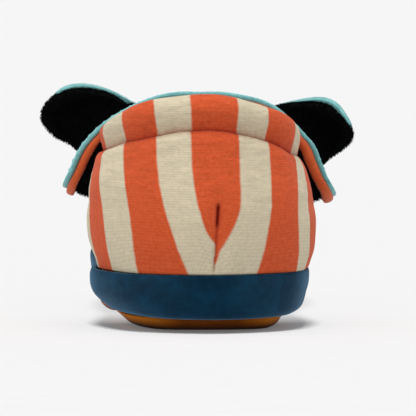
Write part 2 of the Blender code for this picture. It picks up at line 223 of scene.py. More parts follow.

# %% [markdown]
# ## Copies of the solids
# A CAD node comes as loose flat triangles. A copy whose points are merged and whose triangles are
# paired into quads again takes a Subdivision Surface well, and that gives cloth its soft rounding.
# Edges sharper than a given angle can be creased first, so that cut felt and moulded rubber keep
# their edges. Subdivision draws a shape in from the points it starts from, so the cage is first
# pushed out by what it would lose, and the smooth skin then passes through the solid's own points.
# The copy stands for the solid, which is hidden but stays in the frame. The copy stands for the
# solid, which stays in the frame for collision only.

# %% Helpers that read, write and select
def rows_of(items, what):
    """Three numbers for each vertex or face, such as its place or its normal, one row each."""
    values = np.empty(len(items) * 3)
    items.foreach_get(what, values)
    return values.reshape(-1, 3)


def points_of(piece):
    """The piece's vertex places in millimetres."""
    return rows_of(piece.data.vertices, "co") * TO_MM


def put_points(piece, places):
    """Writes places in millimetres back into the mesh."""
    piece.data.vertices.foreach_set("co", (places * MM).ravel())
    piece.data.update()


def select_only(piece):
    """Leaves this piece alone selected and active, since an operator acts on all that is selected."""
    bpy.ops.object.select_all(action="DESELECT")
    piece.select_set(True)
    bpy.context.view_layer.objects.active = piece


# %% A helper that makes one mesh of loose triangles
WELD_DISTANCE = 2e-6  # metres
QUAD_ANGLE = math.radians(60)


def weld(piece, sharp_angle, crease):
    """Merges the loose triangles, pairs them into quads, and creases edges past that many degrees."""
    select_only(piece)
    bpy.ops.object.mode_set(mode="EDIT")
    bpy.ops.mesh.select_all(action="SELECT")
    bpy.ops.mesh.remove_doubles(threshold=WELD_DISTANCE)
    bpy.ops.mesh.customdata_custom_splitnormals_clear()
    bpy.ops.mesh.tris_convert_to_quads(face_threshold=QUAD_ANGLE, shape_threshold=QUAD_ANGLE)
    if sharp_angle is not None:
        bpy.ops.mesh.select_all(action="DESELECT")
        bpy.ops.mesh.select_mode(type="EDGE")
        bpy.ops.mesh.edges_select_sharp(sharpness=math.radians(sharp_angle))
        bpy.ops.transform.edge_crease(value=crease)
        bpy.ops.mesh.select_mode(type="FACE")
    bpy.ops.object.mode_set(mode="OBJECT")


# %% A helper that rounds a piece through its own points
ROUNDING = 2


def round_off(piece, corrections):
    """Subdivides the piece, and gives how far its skin last missed its own points, in millimetres."""
    rounding = piece.modifiers.new("rounding", "SUBSURF")
    rounding.levels = rounding.render_levels = ROUNDING
    wanted = points_of(piece)
    missed = 0.0 * wanted
    for _ in range(corrections):
        smooth = piece.evaluated_get(bpy.context.evaluated_depsgraph_get()).data
        missed = wanted - rows_of(smooth.vertices, "co")[:len(wanted)] * TO_MM
        put_points(piece, points_of(piece) + missed)
    bpy.ops.object.modifier_apply(modifier="rounding")
    bpy.ops.object.shade_smooth()
    return float(np.abs(missed).max())


# %% A helper that copies one solid
def dressed_copy(node_name, sharp_angle=None, crease=0.8, corrections=4):
    """A smooth, finer copy of one CAD node, riding on the root body and standing for that node."""
    mesh = frame["nodes"][node_name].data.copy()
    mesh.materials.clear()
    piece = bpy.data.objects.new(node_name + "_dressed", mesh)
    mesh.name = piece.name
    scene.collection.objects.link(piece)
    weld(piece, sharp_angle, crease)
    missed = round_off(piece, corrections)
    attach(piece, "root")
    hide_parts(node_name)
    print(piece.name, len(mesh.polygons), "faces, furthest point off by", round(missed, 3), "mm")
    return piece


# %% [markdown]
# ## Cloth coordinates
# The stripes are knitted in and follow the cloth, not the room. Round the heel and the sides the
# cloth runs level, so its coordinate is the way along the wall from the middle of the heel. At the
# heel a dart takes a wedge of cloth away below, which pulls the stripes towards it. Over the toe
# the cloth runs lengthwise, so there the coordinate is the way across from the ridge. Unwrapping
# could give such maps, but would not know the dart, so two UV maps are worked out here, quarter
# and vamp, and the material picks one on each side of the side seam.

# %% Soft steps, and turns about the heel
HEEL_X, HEEL_Y = -0.66, -56.7
HEEL_RADIUS = 31.0
DART_TURN = math.radians(5.0)
DART_LEAN, LEAN_TOP, LEAN_FOOT = 1.3, 38.0, 18.0


def fade(value, start, end):
    """0 before start, 1 after end, smooth between."""
    t = np.clip((value - start) / (end - start), 0, 1)
    return t * t * (3 - 2 * t)


def band(value, rise, fall):
    """Fades in over the first range and out again over the second."""
    return fade(value, *rise) * (1 - fade(value, *fall))


def bell(value, width):
    """1 at zero, falling off smoothly to both sides over that width."""
    return np.exp(-(value / width) ** 2)


def dart_lean(z):
    """How far the dart has leaned to the outer side at that height."""
    return DART_LEAN * np.clip((LEAN_TOP - z) / (LEAN_TOP - LEAN_FOOT), 0.0, 1.0)


def heel_angle(places):
    """The turn about the heel's upright axis from the dart line, in radians."""
    x, y, z = places.T
    return np.arctan2(x - HEEL_X, HEEL_Y - y) - DART_TURN + dart_lean(z) / HEEL_RADIUS


# %% The way along the wall
CLOTH_FOOT = 15.0
LEAN_REACH = 3.5
# The dart's wedge on each side: its share, the height where it starts, and its reach along the wall.
OUTER_WEDGE, OUTER_TOP, OUTER_REACH = 0.0083, 52.9, 80.0
INNER_WEDGE, INNER_TOP, INNER_REACH = 0.45, 36.5, 22.0
# The cloth gathered close beside the sewn line: how much, its reach, and the heights it fades over.
OUTER_GATHER, OUTER_CLOSE, OUTER_FADE = 1.6, 3.2, (24.5, 31.0)
INNER_GATHER, INNER_CLOSE, INNER_FADE = 0.75, 2.5, (21.0, 25.0)
# The inner side's stripes bow a little at half height.
BOW, BOW_HEIGHT, BOW_REACH, BOW_STARTS, BOW_ENDS = 2.5, 33.0, 11.0, (17.0, 29.0), (38.0, 54.0)


def along_wall(places, inner_side, reach):
    """The way along the wall from the heel's middle, with the dart's wedge taken out."""
    x, y, z = places.T
    side = np.where(x > HEEL_X, 1.0, -1.0)
    turn = np.where(y < HEEL_Y, np.arctan2(x - HEEL_X, HEEL_Y - y), side * math.pi / 2) - DART_TURN
    run = reach * turn + side * np.clip(y - HEEL_Y, 0.0, None)
    run = run + dart_lean(z) * bell(run, LEAN_REACH)
    low = np.clip(z, CLOTH_FOOT, None)
    outer = OUTER_WEDGE * np.clip(OUTER_TOP - low, 0, None) ** 2 * np.exp(-np.abs(run) / OUTER_REACH)
    outer = outer + OUTER_GATHER * bell(run, OUTER_CLOSE) * (1 - fade(z, *OUTER_FADE))
    inner = INNER_WEDGE * np.clip(INNER_TOP - low, 0, None) * np.exp(-np.abs(run) / INNER_REACH)
    inner = inner - INNER_GATHER * bell(run, INNER_CLOSE) * (1 - fade(z, *INNER_FADE))
    inner = inner + BOW * band(run, BOW_STARTS, BOW_ENDS) * bell(z - BOW_HEIGHT, BOW_REACH)
    return run + np.where(inner_side, inner, -outer)


# %% How the last stretches the cloth
# Each row is one height and each column one place along the wall: how far the cloth is drawn there.
PULL_ALONG = (-100.0, -60.0, -42.6, -31.5, -17.9, -6.8, 6.8, 17.9, 31.5, 42.6, 60.0, 100.0)
PULL_HEIGHT = (18.1, 23.1, 28.1, 33.0, 40.5, 48.0, 53.0)
WALL_PULLS = np.array((
    (1.5, 1.6, 1.7, 0.9, 0.1, 0.0, 0.0, 1.1, -0.1, 3.3, 3.3, 3.5),
    (1.5, 1.6, 1.6, 0.2, -0.5, 0.5, 0.3, 0.7, -0.4, 3.5, 3.3, 3.5),
    (1.5, 1.6, -0.2, -1.7, -0.6, 1.0, 0.3, 1.0, -0.1, 4.0, 3.3, 3.5),
    (1.5, 1.6, -0.6, -2.2, -0.5, 1.4, 0.4, 1.5, 0.4, 4.2, 3.3, 3.5),
    (1.5, 1.6, 1.9, -2.0, 0.1, 1.2, 0.3, 1.5, 2.0, 4.2, 3.3, 3.5),
    (1.5, 1.6, 4.4, -0.8, 0.1, 0.7, 0.1, 0.8, 0.1, 3.0, 3.0, 3.5),
    (1.5, 1.6, 4.6, -1.0, 0.1, 0.7, 0.1, 1.2, -1.0, 2.2, 3.0, 3.5)))
COLLAR_ROW = (1.0, 5.0, 6.5, -0.9, 0.0, 0.4, 0.2, 0.9, -1.4, -1.4, -1.0, 0.0)
COLLAR_PULLS = np.array([COLLAR_ROW] * len(PULL_HEIGHT))
EVENED_OVER = (-6.0, -3.0, 0.0, 3.0, 6.0)


def cell_of(value, marks):
    """Which cell of a table's marks a value falls in, and how far across that cell it lies."""
    at = np.clip(np.interp(value, marks, np.arange(len(marks))), 0, len(marks) - 1.001)
    return at.astype(int), at - at.astype(int)


def pulled(around, z, pulls):
    """How far the lasted cloth is drawn along the wall there, evened out over the height."""
    c, u = cell_of(around, PULL_ALONG)
    total = 0.0
    for shift in EVENED_OVER:
        r, v = cell_of(z + shift, PULL_HEIGHT)
        total = total + (pulls[r, c] * (1 - u) + pulls[r, c + 1] * u) * (1 - v)
        total = total + (pulls[r + 1, c] * (1 - u) + pulls[r + 1, c + 1] * u) * v
    return total / len(EVENED_OVER)


# %% A helper that writes the two cloth maps
MAP_UNIT = 100.0
RIDGE_X = 2.0
SHOULDER, SHOULDER_SHARE = 18.0, 0.6
ANKLE_LENGTH = 45.0


def write_cloth_maps(piece, ridge, ankle, pulls, least_reach=0.0, outer_share=1.0):
    """Adds the maps quarter and vamp, corner by corner, so that they may break at the dart."""
    mesh = piece.data
    corner_vertex = np.empty(len(mesh.loops), dtype=int)
    mesh.loops.foreach_get("vertex_index", corner_vertex)
    counts = np.empty(len(mesh.polygons), dtype=int)
    mesh.polygons.foreach_get("loop_total", counts)
    inner_side = np.repeat(heel_angle(rows_of(mesh.polygons, "center") * TO_MM) > 0, counts)
    corners = points_of(piece)[corner_vertex]
    x, y, z = corners.T
    at_ankle = np.where(x > HEEL_X, np.interp(z, ankle["z"], ankle["inner"]),
                        np.interp(z, ankle["z"], ankle["outer"]))
    past = fade(y, HEEL_Y, HEEL_Y + ANKLE_LENGTH)
    reach = np.where(y < HEEL_Y, np.hypot(x - HEEL_X, y - HEEL_Y), at_ankle * (1 - past) + HEEL_RADIUS * past)
    around = along_wall(corners, inner_side, np.maximum(reach, least_reach))
    around = around * np.where(around < 0, outer_share, 1.0)
    around = around + pulled(around, z, pulls)
    quarter = np.column_stack([around, z - np.hypot(x - HEEL_X, np.minimum(y - HEEL_Y, 0.0))])
    drop = np.clip(np.interp(y, ridge["y"], ridge["z"]) - z, 0, None)
    down = SHOULDER_SHARE * np.minimum(drop, SHOULDER) + np.clip(drop - SHOULDER, 0, None)
    across = x - RIDGE_X
    vamp = np.column_stack([np.sign(across) * (np.abs(across) + down), y - z])
    for name, values in (("quarter", quarter), ("vamp", vamp)):
        layer = mesh.uv_layers.new(name=name)
        layer.data.foreach_set("uv", (values / MAP_UNIT).astype(np.float32).ravel())
    print(piece.name, "along the wall from", around.min().round(1), "to", around.max().round(1), "mm")


# %% [markdown]
# ## Striped jersey
# The outer is a soft brushed jersey in wide orange and cream stripes. A picture of the cloth could
# be laid on it, but nodes stay sharp however close one looks. They read the cloth maps, so each
# size here is one that a ruler could find on the cloth. Jersey shows rows of small leaning loops, a
# slight heather in each colour and a pale bloom at grazing angles, which the sheen gives. The real
# loops are well under a millimetre, so they are drawn about a third coarser than they are, to show
# at this picture size.

# %% Jersey: where a point lies on the cloth
SIDE_SEAM_Y = -2.5
# Brushed cotton scatters light: the eye sees a quite matt cloth, a little paler where it turns away.
jersey, tree = new_material("brushed_striped_jersey")
place = add(tree, COORDS).outputs["Object"]
along_foot = add(tree, SPLIT, {0: place}).outputs["Y"]
seam_way = add(tree, MATH, {0: along_foot, 1: -SIDE_SEAM_Y * MM}, operation="ADD").outputs[0]
on_vamp = add(tree, MATH, {0: seam_way, 1: 0.0}, operation="GREATER_THAN").outputs[0]
quarter = add(tree, "ShaderNodeUVMap", uv_map="quarter").outputs["UV"]
vamp = add(tree, "ShaderNodeUVMap", uv_map="vamp").outputs["UV"]
cloth = add(tree, MIX, {0: on_vamp, 4: quarter, 5: vamp}, data_type="VECTOR").outputs[1]
cloth = add(tree, VECTOR, {0: cloth, 1: (MAP_UNIT,) * 3}, operation="MULTIPLY").outputs[0]
cloth_axes = add(tree, SPLIT, {0: cloth})
run, rise = cloth_axes.outputs["X"], cloth_axes.outputs["Y"]
print("the two cloth maps meet at y", SIDE_SEAM_Y, "mm")

# %% Jersey: stripes and heather
STRIPE_PERIOD = 24.7
ORANGE_HALF = 6.8
STRIPE_BLUR = 0.35
WANDER, WANDER_SIZE = 0.5, 20 / 7  # stripe edges waver by half a millimetre, seven times in 20
HEATHER_SIZE = 10 / 9  # flecks of several yarns, since one yarn is too fine to show
NOISE_LOW, NOISE_HIGH = 0.3, 0.7  # a noise node seldom leaves this range
wander = add(tree, NOISE, {"Vector": cloth, "Scale": 1 / WANDER_SIZE, "Detail": 3.0}).outputs["Fac"]
wander = add(tree, MATH, {0: wander, 1: WANDER, 2: -WANDER / 2}, operation="MULTIPLY_ADD").outputs[0]
from_orange = add(tree, MATH, {0: run, 1: wander}, operation="ADD").outputs[0]
from_orange = add(tree, MATH, {0: from_orange, 1: STRIPE_PERIOD / 2}, operation="PINGPONG").outputs[0]
is_cream = add(tree, RANGE, {0: from_orange, 1: ORANGE_HALF - STRIPE_BLUR,
                             2: ORANGE_HALF + STRIPE_BLUR}).outputs[0]
heather = add(tree, NOISE, {"Vector": cloth, "Scale": 1 / HEATHER_SIZE, "Detail": 4.0,
                            "Roughness": 0.7}).outputs["Fac"]
heather = add(tree, RANGE, {0: heather, 1: NOISE_LOW, 2: NOISE_HIGH}).outputs[0]
orange = add(tree, MIX, {0: heather, A: linear("#c0461f"), B: linear("#cf5b30")},
             data_type="RGBA").outputs[MIXED]
cream = add(tree, MIX, {0: heather, A: linear("#c2b598"), B: linear("#d2c6ac")},
            data_type="RGBA").outputs[MIXED]
stripes = add(tree, MIX, {0: is_cream, A: orange, B: cream}, data_type="RGBA").outputs[MIXED]
print("stripes:", 2 * ORANGE_HALF, "mm of orange in each", STRIPE_PERIOD, "mm")

# %% Jersey: loops and fuzz
WALE, COURSE = 1.0, 0.85
LOOP_LEAN, LOOP_HEIGHT = 0.9, 0.3
FUZZ_SIZE, FUZZ_HEIGHT = 5 / 13, 1.6  # thirteen brushed tufts in 5 mm
wale = add(tree, MATH, {0: run, 1: WALE / 2}, operation="PINGPONG").outputs[0]
lean = add(tree, MATH, {0: wale, 1: LOOP_LEAN / WALE}, operation="MULTIPLY").outputs[0]
course = add(tree, MATH, {0: rise, 1: 1.0 / COURSE, 2: lean}, operation="MULTIPLY_ADD").outputs[0]
course = add(tree, MATH, {0: course, 1: 2 * math.pi}, operation="MULTIPLY").outputs[0]
loops = add(tree, MATH, {0: course}, operation="SINE").outputs[0]
loops = add(tree, MATH, {0: loops, 1: LOOP_HEIGHT, 2: LOOP_HEIGHT}, operation="MULTIPLY_ADD").outputs[0]
fuzz = add(tree, NOISE, {"Vector": cloth, "Scale": 1 / FUZZ_SIZE, "Detail": 3.0,
                         "Roughness": 0.75}).outputs["Fac"]
relief = add(tree, MATH, {0: fuzz, 1: FUZZ_HEIGHT, 2: loops}, operation="MULTIPLY_ADD").outputs[0]
print("loops:", WALE, "mm wide and", COURSE, "mm high")

# %% Jersey: wrinkles along the wall, strongest just below the roll, and the shade they give
WRINKLE_LONG, WRINKLE_WIDE, WRINKLE_HEIGHT = 6.25, 20 / 11, 0.5
SMOOTH_FOOT, WRINKLED_TOP, FOOT_SHARE = -6.0, 12.0, 0.25
RELIEF_LOW, RELIEF_HIGH = 0.3, 1.9
SHADE_LOW, SHADE_HIGH = 0.81, 1.12
stretch = (1 / WRINKLE_LONG, 1 / WRINKLE_WIDE, 1.0)
stretched = add(tree, VECTOR, {0: cloth, 1: stretch}, operation="MULTIPLY").outputs[0]
wrinkle = add(tree, NOISE, {"Vector": stretched, "Scale": 1.0, "Detail": 2.0,
                            "Distortion": 0.6}).outputs["Fac"]
wrinkle = add(tree, RANGE, {0: wrinkle, 1: NOISE_LOW, 2: NOISE_HIGH, 3: -1.0, 4: 1.0}).outputs[0]
below_roll = add(tree, RANGE, {0: rise, 1: SMOOTH_FOOT, 2: WRINKLED_TOP, 3: FOOT_SHARE, 4: 1.0}).outputs[0]
wrinkle = add(tree, MATH, {0: wrinkle, 1: below_roll}, operation="MULTIPLY").outputs[0]
relief = add(tree, MATH, {0: wrinkle, 1: WRINKLE_HEIGHT, 2: relief}, operation="MULTIPLY_ADD").outputs[0]
# The relief also scales the colour, darker in its hollows: painted shade of the loops, fuzz and wrinkles.
shade = add(tree, RANGE, {0: relief, 1: RELIEF_LOW, 2: RELIEF_HIGH, 3: SHADE_LOW, 4: SHADE_HIGH}).outputs[0]
stripes = add(tree, VECTOR, {0: stripes, "Scale": shade}, operation="SCALE").outputs[0]
print("wrinkles:", WRINKLE_LONG, "by", round(WRINKLE_WIDE, 1), "mm")

# %% Jersey: painted warm shade in the folds, the side seam, and the shader
SEAM_HALF, SEAM_DEPTH = 1.1, 4.0
RELIEF = 0.14
painted_shade_share = add(tree, "ShaderNodeAttribute", attribute_name="crease_depth").outputs["Fac"]
# Where a point carries painted shade, the colour is multiplied towards a warm dark brown: painted shade in
# folds and along seams.
stripes = add(tree, MIX, {0: painted_shade_share, A: stripes, B: linear("#b2563f")}, data_type="RGBA",
              blend_type="MULTIPLY").outputs[MIXED]
seam_dip = add(tree, MATH, {0: seam_way}, operation="ABSOLUTE").outputs[0]
seam_dip = add(tree, RANGE, {0: seam_dip, 1: 0.0, 2: SEAM_HALF * MM, 3: -SEAM_DEPTH, 4: 0.0},
               interpolation_type="SMOOTHSTEP").outputs[0]
relief = add(tree, MATH, {0: relief, 1: seam_dip}, operation="ADD").outputs[0]
bump = add(tree, BUMP, {"Strength": 0.35, "Distance": RELIEF * MM, "Height": relief}).outputs["Normal"]
finish_material(jersey, {"Roughness": 0.9, "Specular IOR Level": 0.2, "Sheen Weight": 0.05,
                         "Sheen Roughness": 0.5, "Base Color": stripes, "Normal": bump})

# %% [markdown]
# ## Lining
# Inside, the shoe is lined with a plain pale jersey. Little of it shows, down in the mouth, so it
# is kept quiet: one warm grey with a fine rib and a little heather. It could share the striped
# jersey's nodes, but a plain rib needs no cloth map, and reads the room's own coordinates.

# %% The lining material
LINING_SPECK = 10 / 7
LINING_RIB = 1.208  # two ribs of the real knit, since one is too fine to show
WAVE_TURN = math.tau / 20  # a wave node turns twenty times as fast as its scale says
# Plain cotton knit: the eye sees a pale warm grey, matt, with a soft bloom and no gloss.
lining, tree = new_material("pale_lining_jersey")
place = add(tree, COORDS).outputs["Object"]
speck = add(tree, NOISE, {"Vector": place, "Scale": 1 / (LINING_SPECK * MM), "Detail": 4.0,
                          "Roughness": 0.7}).outputs["Fac"]
tone = add(tree, MIX, {0: speck, A: linear("#b9ac94"), B: linear("#e0d6c2")},
           data_type="RGBA").outputs[MIXED]
rib = add(tree, "ShaderNodeTexWave", {"Vector": place, "Scale": WAVE_TURN / (LINING_RIB * MM),
                                      "Distortion": 1.5, "Detail": 2.0}, bands_direction="Z").outputs["Fac"]
relief = add(tree, MATH, {0: rib, 1: speck}, operation="ADD").outputs[0]
bump = add(tree, BUMP, {"Strength": 0.4, "Distance": 0.2 * MM, "Height": relief}).outputs["Normal"]
finish_material(lining, {"Roughness": 0.95, "Specular IOR Level": 0.15, "Sheen Weight": 0.2,
                         "Base Color": tone, "Normal": bump})

# %% [markdown]
# ## Upper
# The upper is one padded cloth shell. The subdivided copy is already round; what it lacks is the
# heel dart, an open little fold with a sewn line below it, and the soft unevenness of stuffed
# cloth. A cloth simulation could puff it up, but a lasted and sewn wall hardly moves, so its points
# are moved directly. The strip round the dart is subdivided further first, so that it can fold.

# %% Copy the upper and refine the heel
DART_STRIP, STRIP_FOOT, STRIP_TOP = 7.0, 15.0, 44.0
HEEL_BACK = -75.0
STRIP_RADIUS = 30.0
DART_CUTS = 3
upper = dressed_copy("upper")
mesh = upper.data
centres = rows_of(mesh.polygons, "center") * TO_MM
x, y, z = centres.T
near_dart = (np.abs(heel_angle(centres)) * HEEL_RADIUS < DART_STRIP) & (y < HEEL_BACK)
near_dart &= (z > STRIP_FOOT) & (z < STRIP_TOP) & (np.hypot(x - HEEL_X, y - HEEL_Y) > STRIP_RADIUS)
bpy.ops.object.mode_set(mode="EDIT")
bpy.ops.mesh.select_mode(type="FACE")
bpy.ops.mesh.select_all(action="DESELECT")
bpy.ops.object.mode_set(mode="OBJECT")
mesh.polygons.foreach_set("select", near_dart)
bpy.ops.object.mode_set(mode="EDIT")
bpy.ops.mesh.subdivide(number_cuts=DART_CUTS, smoothness=0.0)
bpy.ops.object.mode_set(mode="OBJECT")
bpy.ops.object.shade_smooth()
print("heel refined:", int(near_dart.sum()), "faces cut,", len(mesh.polygons), "faces now")

# %% Draw in the dart: an open slit, a sewn line below it, and a valley with a lip on each side
SLIT, SLIT_OPENS, SLIT_CLOSES, SLIT_WIDTH = 1.3, (29.5, 32.5), (36.5, 38.5), 0.5
SEWN, SEWN_STARTS, SEWN_ENDS, SEWN_WIDTH = 0.6, (17.5, 19.5), (30.0, 33.0), 0.6
VALLEY, VALLEY_STARTS, VALLEY_ENDS, VALLEY_WIDTH = 0.55, (18.0, 22.0), (34.0, 44.0), 3.2
LIP, LIP_AWAY, LIP_WIDTH = 0.35, 5.5, 2.5
SLIT_SHADOW, SEWN_SHADOW, SEWN_SHARE = 0.6, 0.4, 0.5
SKIN_RADIUS, SKIN_BACK = 29.9, -70.0


def out_from_heel(places):
    """The level way out of the shoe at each point: round the heel, and straight aside before it."""
    way = np.column_stack([places[:, 0] - HEEL_X, np.minimum(places[:, 1] - HEEL_Y, 0.0)])
    return way / np.maximum(np.linalg.norm(way, axis=1), 1e-6)[:, None]


places = points_of(upper)
x, y, z = places.T
flat_way = out_from_heel(places)
outer_skin = (np.hypot(x - HEEL_X, y - HEEL_Y) > SKIN_RADIUS) & (y < SKIN_BACK)
way = heel_angle(places) * HEEL_RADIUS
slit, sewn = band(z, SLIT_OPENS, SLIT_CLOSES), band(z, SEWN_STARTS, SEWN_ENDS)
valley = band(z, VALLEY_STARTS, VALLEY_ENDS)
depth = SLIT * slit * bell(way, SLIT_WIDTH) + SEWN * sewn * bell(way, SEWN_WIDTH)
depth += VALLEY * valley * bell(way, VALLEY_WIDTH) - LIP * valley * bell(np.abs(way) - LIP_AWAY, LIP_WIDTH)
depth = np.where(outer_skin, depth, 0.0)
places[:, :2] -= flat_way * depth[:, None]
# The shadow here is painted shade: it darkens the jersey's colour in the slit and along the sewn line.
shadow = np.maximum(slit * bell(way, SLIT_SHADOW), SEWN_SHARE * sewn * bell(way, SEWN_SHADOW)) * outer_skin
print("dart drawn in by", depth.max().round(2), "mm")

# %% Helpers that find the collar seam and shape cloth along it
SECTOR = 5  # degrees
SADDLE_BACK = -20.0
SEAM_RISE, RISE_TURNS = 0.65, (-0.9, -0.3)
SEAM_DROP, DROP_TURNS, DROP_ENDS = 1.8, (0.6, 1.2), (-45.0, -22.0)
SEAM_PUCKER, PUCKER_SIZE = 0.45, 4.5


def lumps(places, size, seed):
    """Soft noise from -1 to 1 with lumps of that size."""
    offset = Vector((seed * 17.3, seed * 5.1, seed * 9.7))
    return np.array([noise.noise(Vector(p) / size + offset) for p in places])


def from_seam(places, edge):
    """Each point's height from the seam, which is the highest or lowest point of its sector."""
    x, y, z = places.T
    sector = np.round(np.degrees(np.arctan2(x - HEEL_X, HEEL_Y - y)) / SECTOR).astype(int)
    seam = {s: edge(z[sector == s]) for s in np.unique(sector)}
    return z - np.array([seam[s] for s in sector])


def seam_shift(places):
    """How far the collar seam rises over the heel's middle and drops at its inner side."""
    angle = heel_angle(places)
    drop = SEAM_DROP * fade(angle, *DROP_TURNS) * (1 - fade(places[:, 1], *DROP_ENDS))
    return (SEAM_RISE * fade(angle, *RISE_TURNS) - drop) * (places[:, 1] < SADDLE_BACK)


def pucker(places, seam_way, reach, seed):
    """How far the cloth puckers in and out along the seam, upright and close together."""
    share = SEAM_PUCKER * bell(seam_way, reach) * (places[:, 1] < SADDLE_BACK)
    return share * lumps(places * (1.0, 1.0, 0.3), PUCKER_SIZE, seed)


def write_painted_shade(piece, depth):
    """Keeps each point's painted shade, which the jersey multiplies into its colour in folds and seams."""
    crease = piece.data.attributes.new("crease_depth", "FLOAT", "POINT")
    crease.data.foreach_set("value", depth.astype(np.float32))


# %% Tuck the top edge under the collar, and pucker it along the seam
SEAM_TUCK, SEAM_REACH = 1.5, 2.4
SEAM_SHADE, SHADE_REACH = 0.4, 0.6
PUCKER_REACH, SHIFT_REACH = 5.0, 6.0
behind = y < SADDLE_BACK
seam_below = from_seam(places, np.max)
places[:, :2] -= flat_way * (SEAM_TUCK * bell(seam_below, SEAM_REACH) * behind)[:, None]
# Just below the collar seam the jersey's colour is darkened too: painted shade.
shadow = np.maximum(shadow, SEAM_SHADE * bell(seam_below, SHADE_REACH) * behind)
places[:, :2] += flat_way * pucker(places, seam_below, PUCKER_REACH, 6)[:, None]
places[:, 2] += seam_shift(places) * bell(seam_below, SHIFT_REACH)
write_painted_shade(upper, shadow)
print("tucked under the collar:", int((behind & (seam_below > -SEAM_REACH)).sum()), "points")

# %% Settle the foot into the tray, swell the ankle, and make the padding uneven
MIDDLE_X, MIDDLE_Z, MIDDLE_END = 1.0, 26.0, 40.0
FOOT_IN, FOOT_IN_ENDS = 0.8, (13.0, 16.0)
FOOT_DOWN, DOWN_STARTS, DOWN_ENDS = 1.3, (9.0, 13.0), (17.0, 20.5)
ANKLE_ENDS, ANKLE_TURNS = (-42.0, -24.0), (0.6, 1.3)
INNER_SWELL = ((21, 0.9), (25, 0.3), (31, -0.1), (35, -0.6), (38, -0.4), (42, 0.4), (46, 1.2))
OUTER_SWELL = ((20, -0.6), (23, -0.4), (27, 0), (36.5, 0), (41, 1.0), (44.5, 1.6))
HEEL_FOOT, HEEL_ENDS = (5.0, 9.0), (-30.0, 5.0)
OUTER_IN, OUTER_IN_ENDS = 3.4, (-24.0, -10.0)
INNER_IN, INNER_IN_STARTS = 1.6, (10.0, 24.0)
WALL_LUMPS, LUMPS_START = ((0.28, 16.0, 1), (0.12, 6.0, 2)), (18.0, 24.0)


def uneven(places, heights_sizes_seeds):
    """Lumps of several sizes laid over one another, as stuffing and seams leave them."""
    return sum(height * lumps(places, size, seed) for height, size, seed in heights_sizes_seeds)


normals = rows_of(mesh.vertices, "normal")
ways_out = np.column_stack([x - MIDDLE_X, y - np.clip(y, HEEL_Y, MIDDLE_END)])
skin_out = (ways_out * normals[:, :2]).sum(axis=1) > 0
places[:, :2] -= normals[:, :2] * (FOOT_IN * skin_out * (1 - fade(z, *FOOT_IN_ENDS)))[:, None]
places[:, 2] -= FOOT_DOWN * skin_out * band(z, DOWN_STARTS, DOWN_ENDS)
swell = np.interp(z, *zip(*INNER_SWELL)) * fade(heel_angle(places), *ANKLE_TURNS)
swell = swell + np.interp(z, *zip(*OUTER_SWELL)) * fade(-heel_angle(places), *ANKLE_TURNS)
places[:, :2] += flat_way * ((1 - fade(y, *ANKLE_ENDS)) * skin_out * swell)[:, None]
in_tray = (1 - fade(z, *HEEL_FOOT)) * (1 - fade(y, *HEEL_ENDS))
outer_in, inner_in = OUTER_IN * (1 - fade(x, *OUTER_IN_ENDS)), INNER_IN * fade(x, *INNER_IN_STARTS)
places[:, 0] += in_tray * (outer_in - inner_in)
padding = uneven(places, WALL_LUMPS)
places += normals * (fade(z, *LUMPS_START) * padding)[:, None]
put_points(upper, places)
print("padding uneven by up to", np.abs(padding).max().round(2), "mm")

# %% Measure the ridge and the ankle, and lay out the cloth
FAR_OFF = 0.2  # metres
THROAT_TOP, TOE_TOP = 45.0, 20.0
ridge = {"y": np.linspace(-10.0, 90.0, 51), "z": []}
for at in ridge["y"]:
    hit, spot, _, _ = upper.ray_cast(Vector((RIDGE_X * MM, at * MM, FAR_OFF)), Vector((0, 0, -1)))
    ridge["z"].append(spot.z * TO_MM if hit else TOE_TOP)
throat = next(i for i, top in enumerate(ridge["z"]) if top > THROAT_TOP)
ridge["z"][:throat] = [ridge["z"][throat]] * throat
print("throat at y", ridge["y"][throat], "mm, ridge there at", round(ridge["z"][throat], 1), "mm")
ankle = {"z": np.linspace(18.0, 50.0, 33), "outer": [], "inner": []}
for at in ankle["z"]:
    for side, way in (("outer", 1.0), ("inner", -1.0)):
        _, spot, _, _ = upper.ray_cast(Vector((-FAR_OFF * way, HEEL_Y * MM, at * MM)), Vector((way, 0, 0)))
        ankle[side].append(abs(spot.x * TO_MM - HEEL_X))
write_cloth_maps(upper, ridge, ankle, WALL_PULLS)

# %% Line the inside: the faces that look towards the foot's middle line
centres = rows_of(mesh.polygons, "center") * TO_MM
middle = np.column_stack([np.full(len(centres), MIDDLE_X), np.clip(centres[:, 1], HEEL_Y, MIDDLE_END),
                          np.full(len(centres), MIDDLE_Z)])
faces_in = ((centres - middle) * rows_of(mesh.polygons, "normal")).sum(axis=1) < 0
mesh.materials.append(jersey)
mesh.materials.append(lining)
mesh.polygons.foreach_set("material_index", faces_in.astype(int))
print("lined faces:", int(faces_in.sum()))

# %% [markdown]
# ## Collar
# The collar is a stuffed roll sewn round the mouth. Its stripes run on from the wall below, so it
# takes the same cloth map. A bevelled curve could make an even roll, but a stuffed one is never
# even, so the solid's copy swells and pulls a little between its stitches.

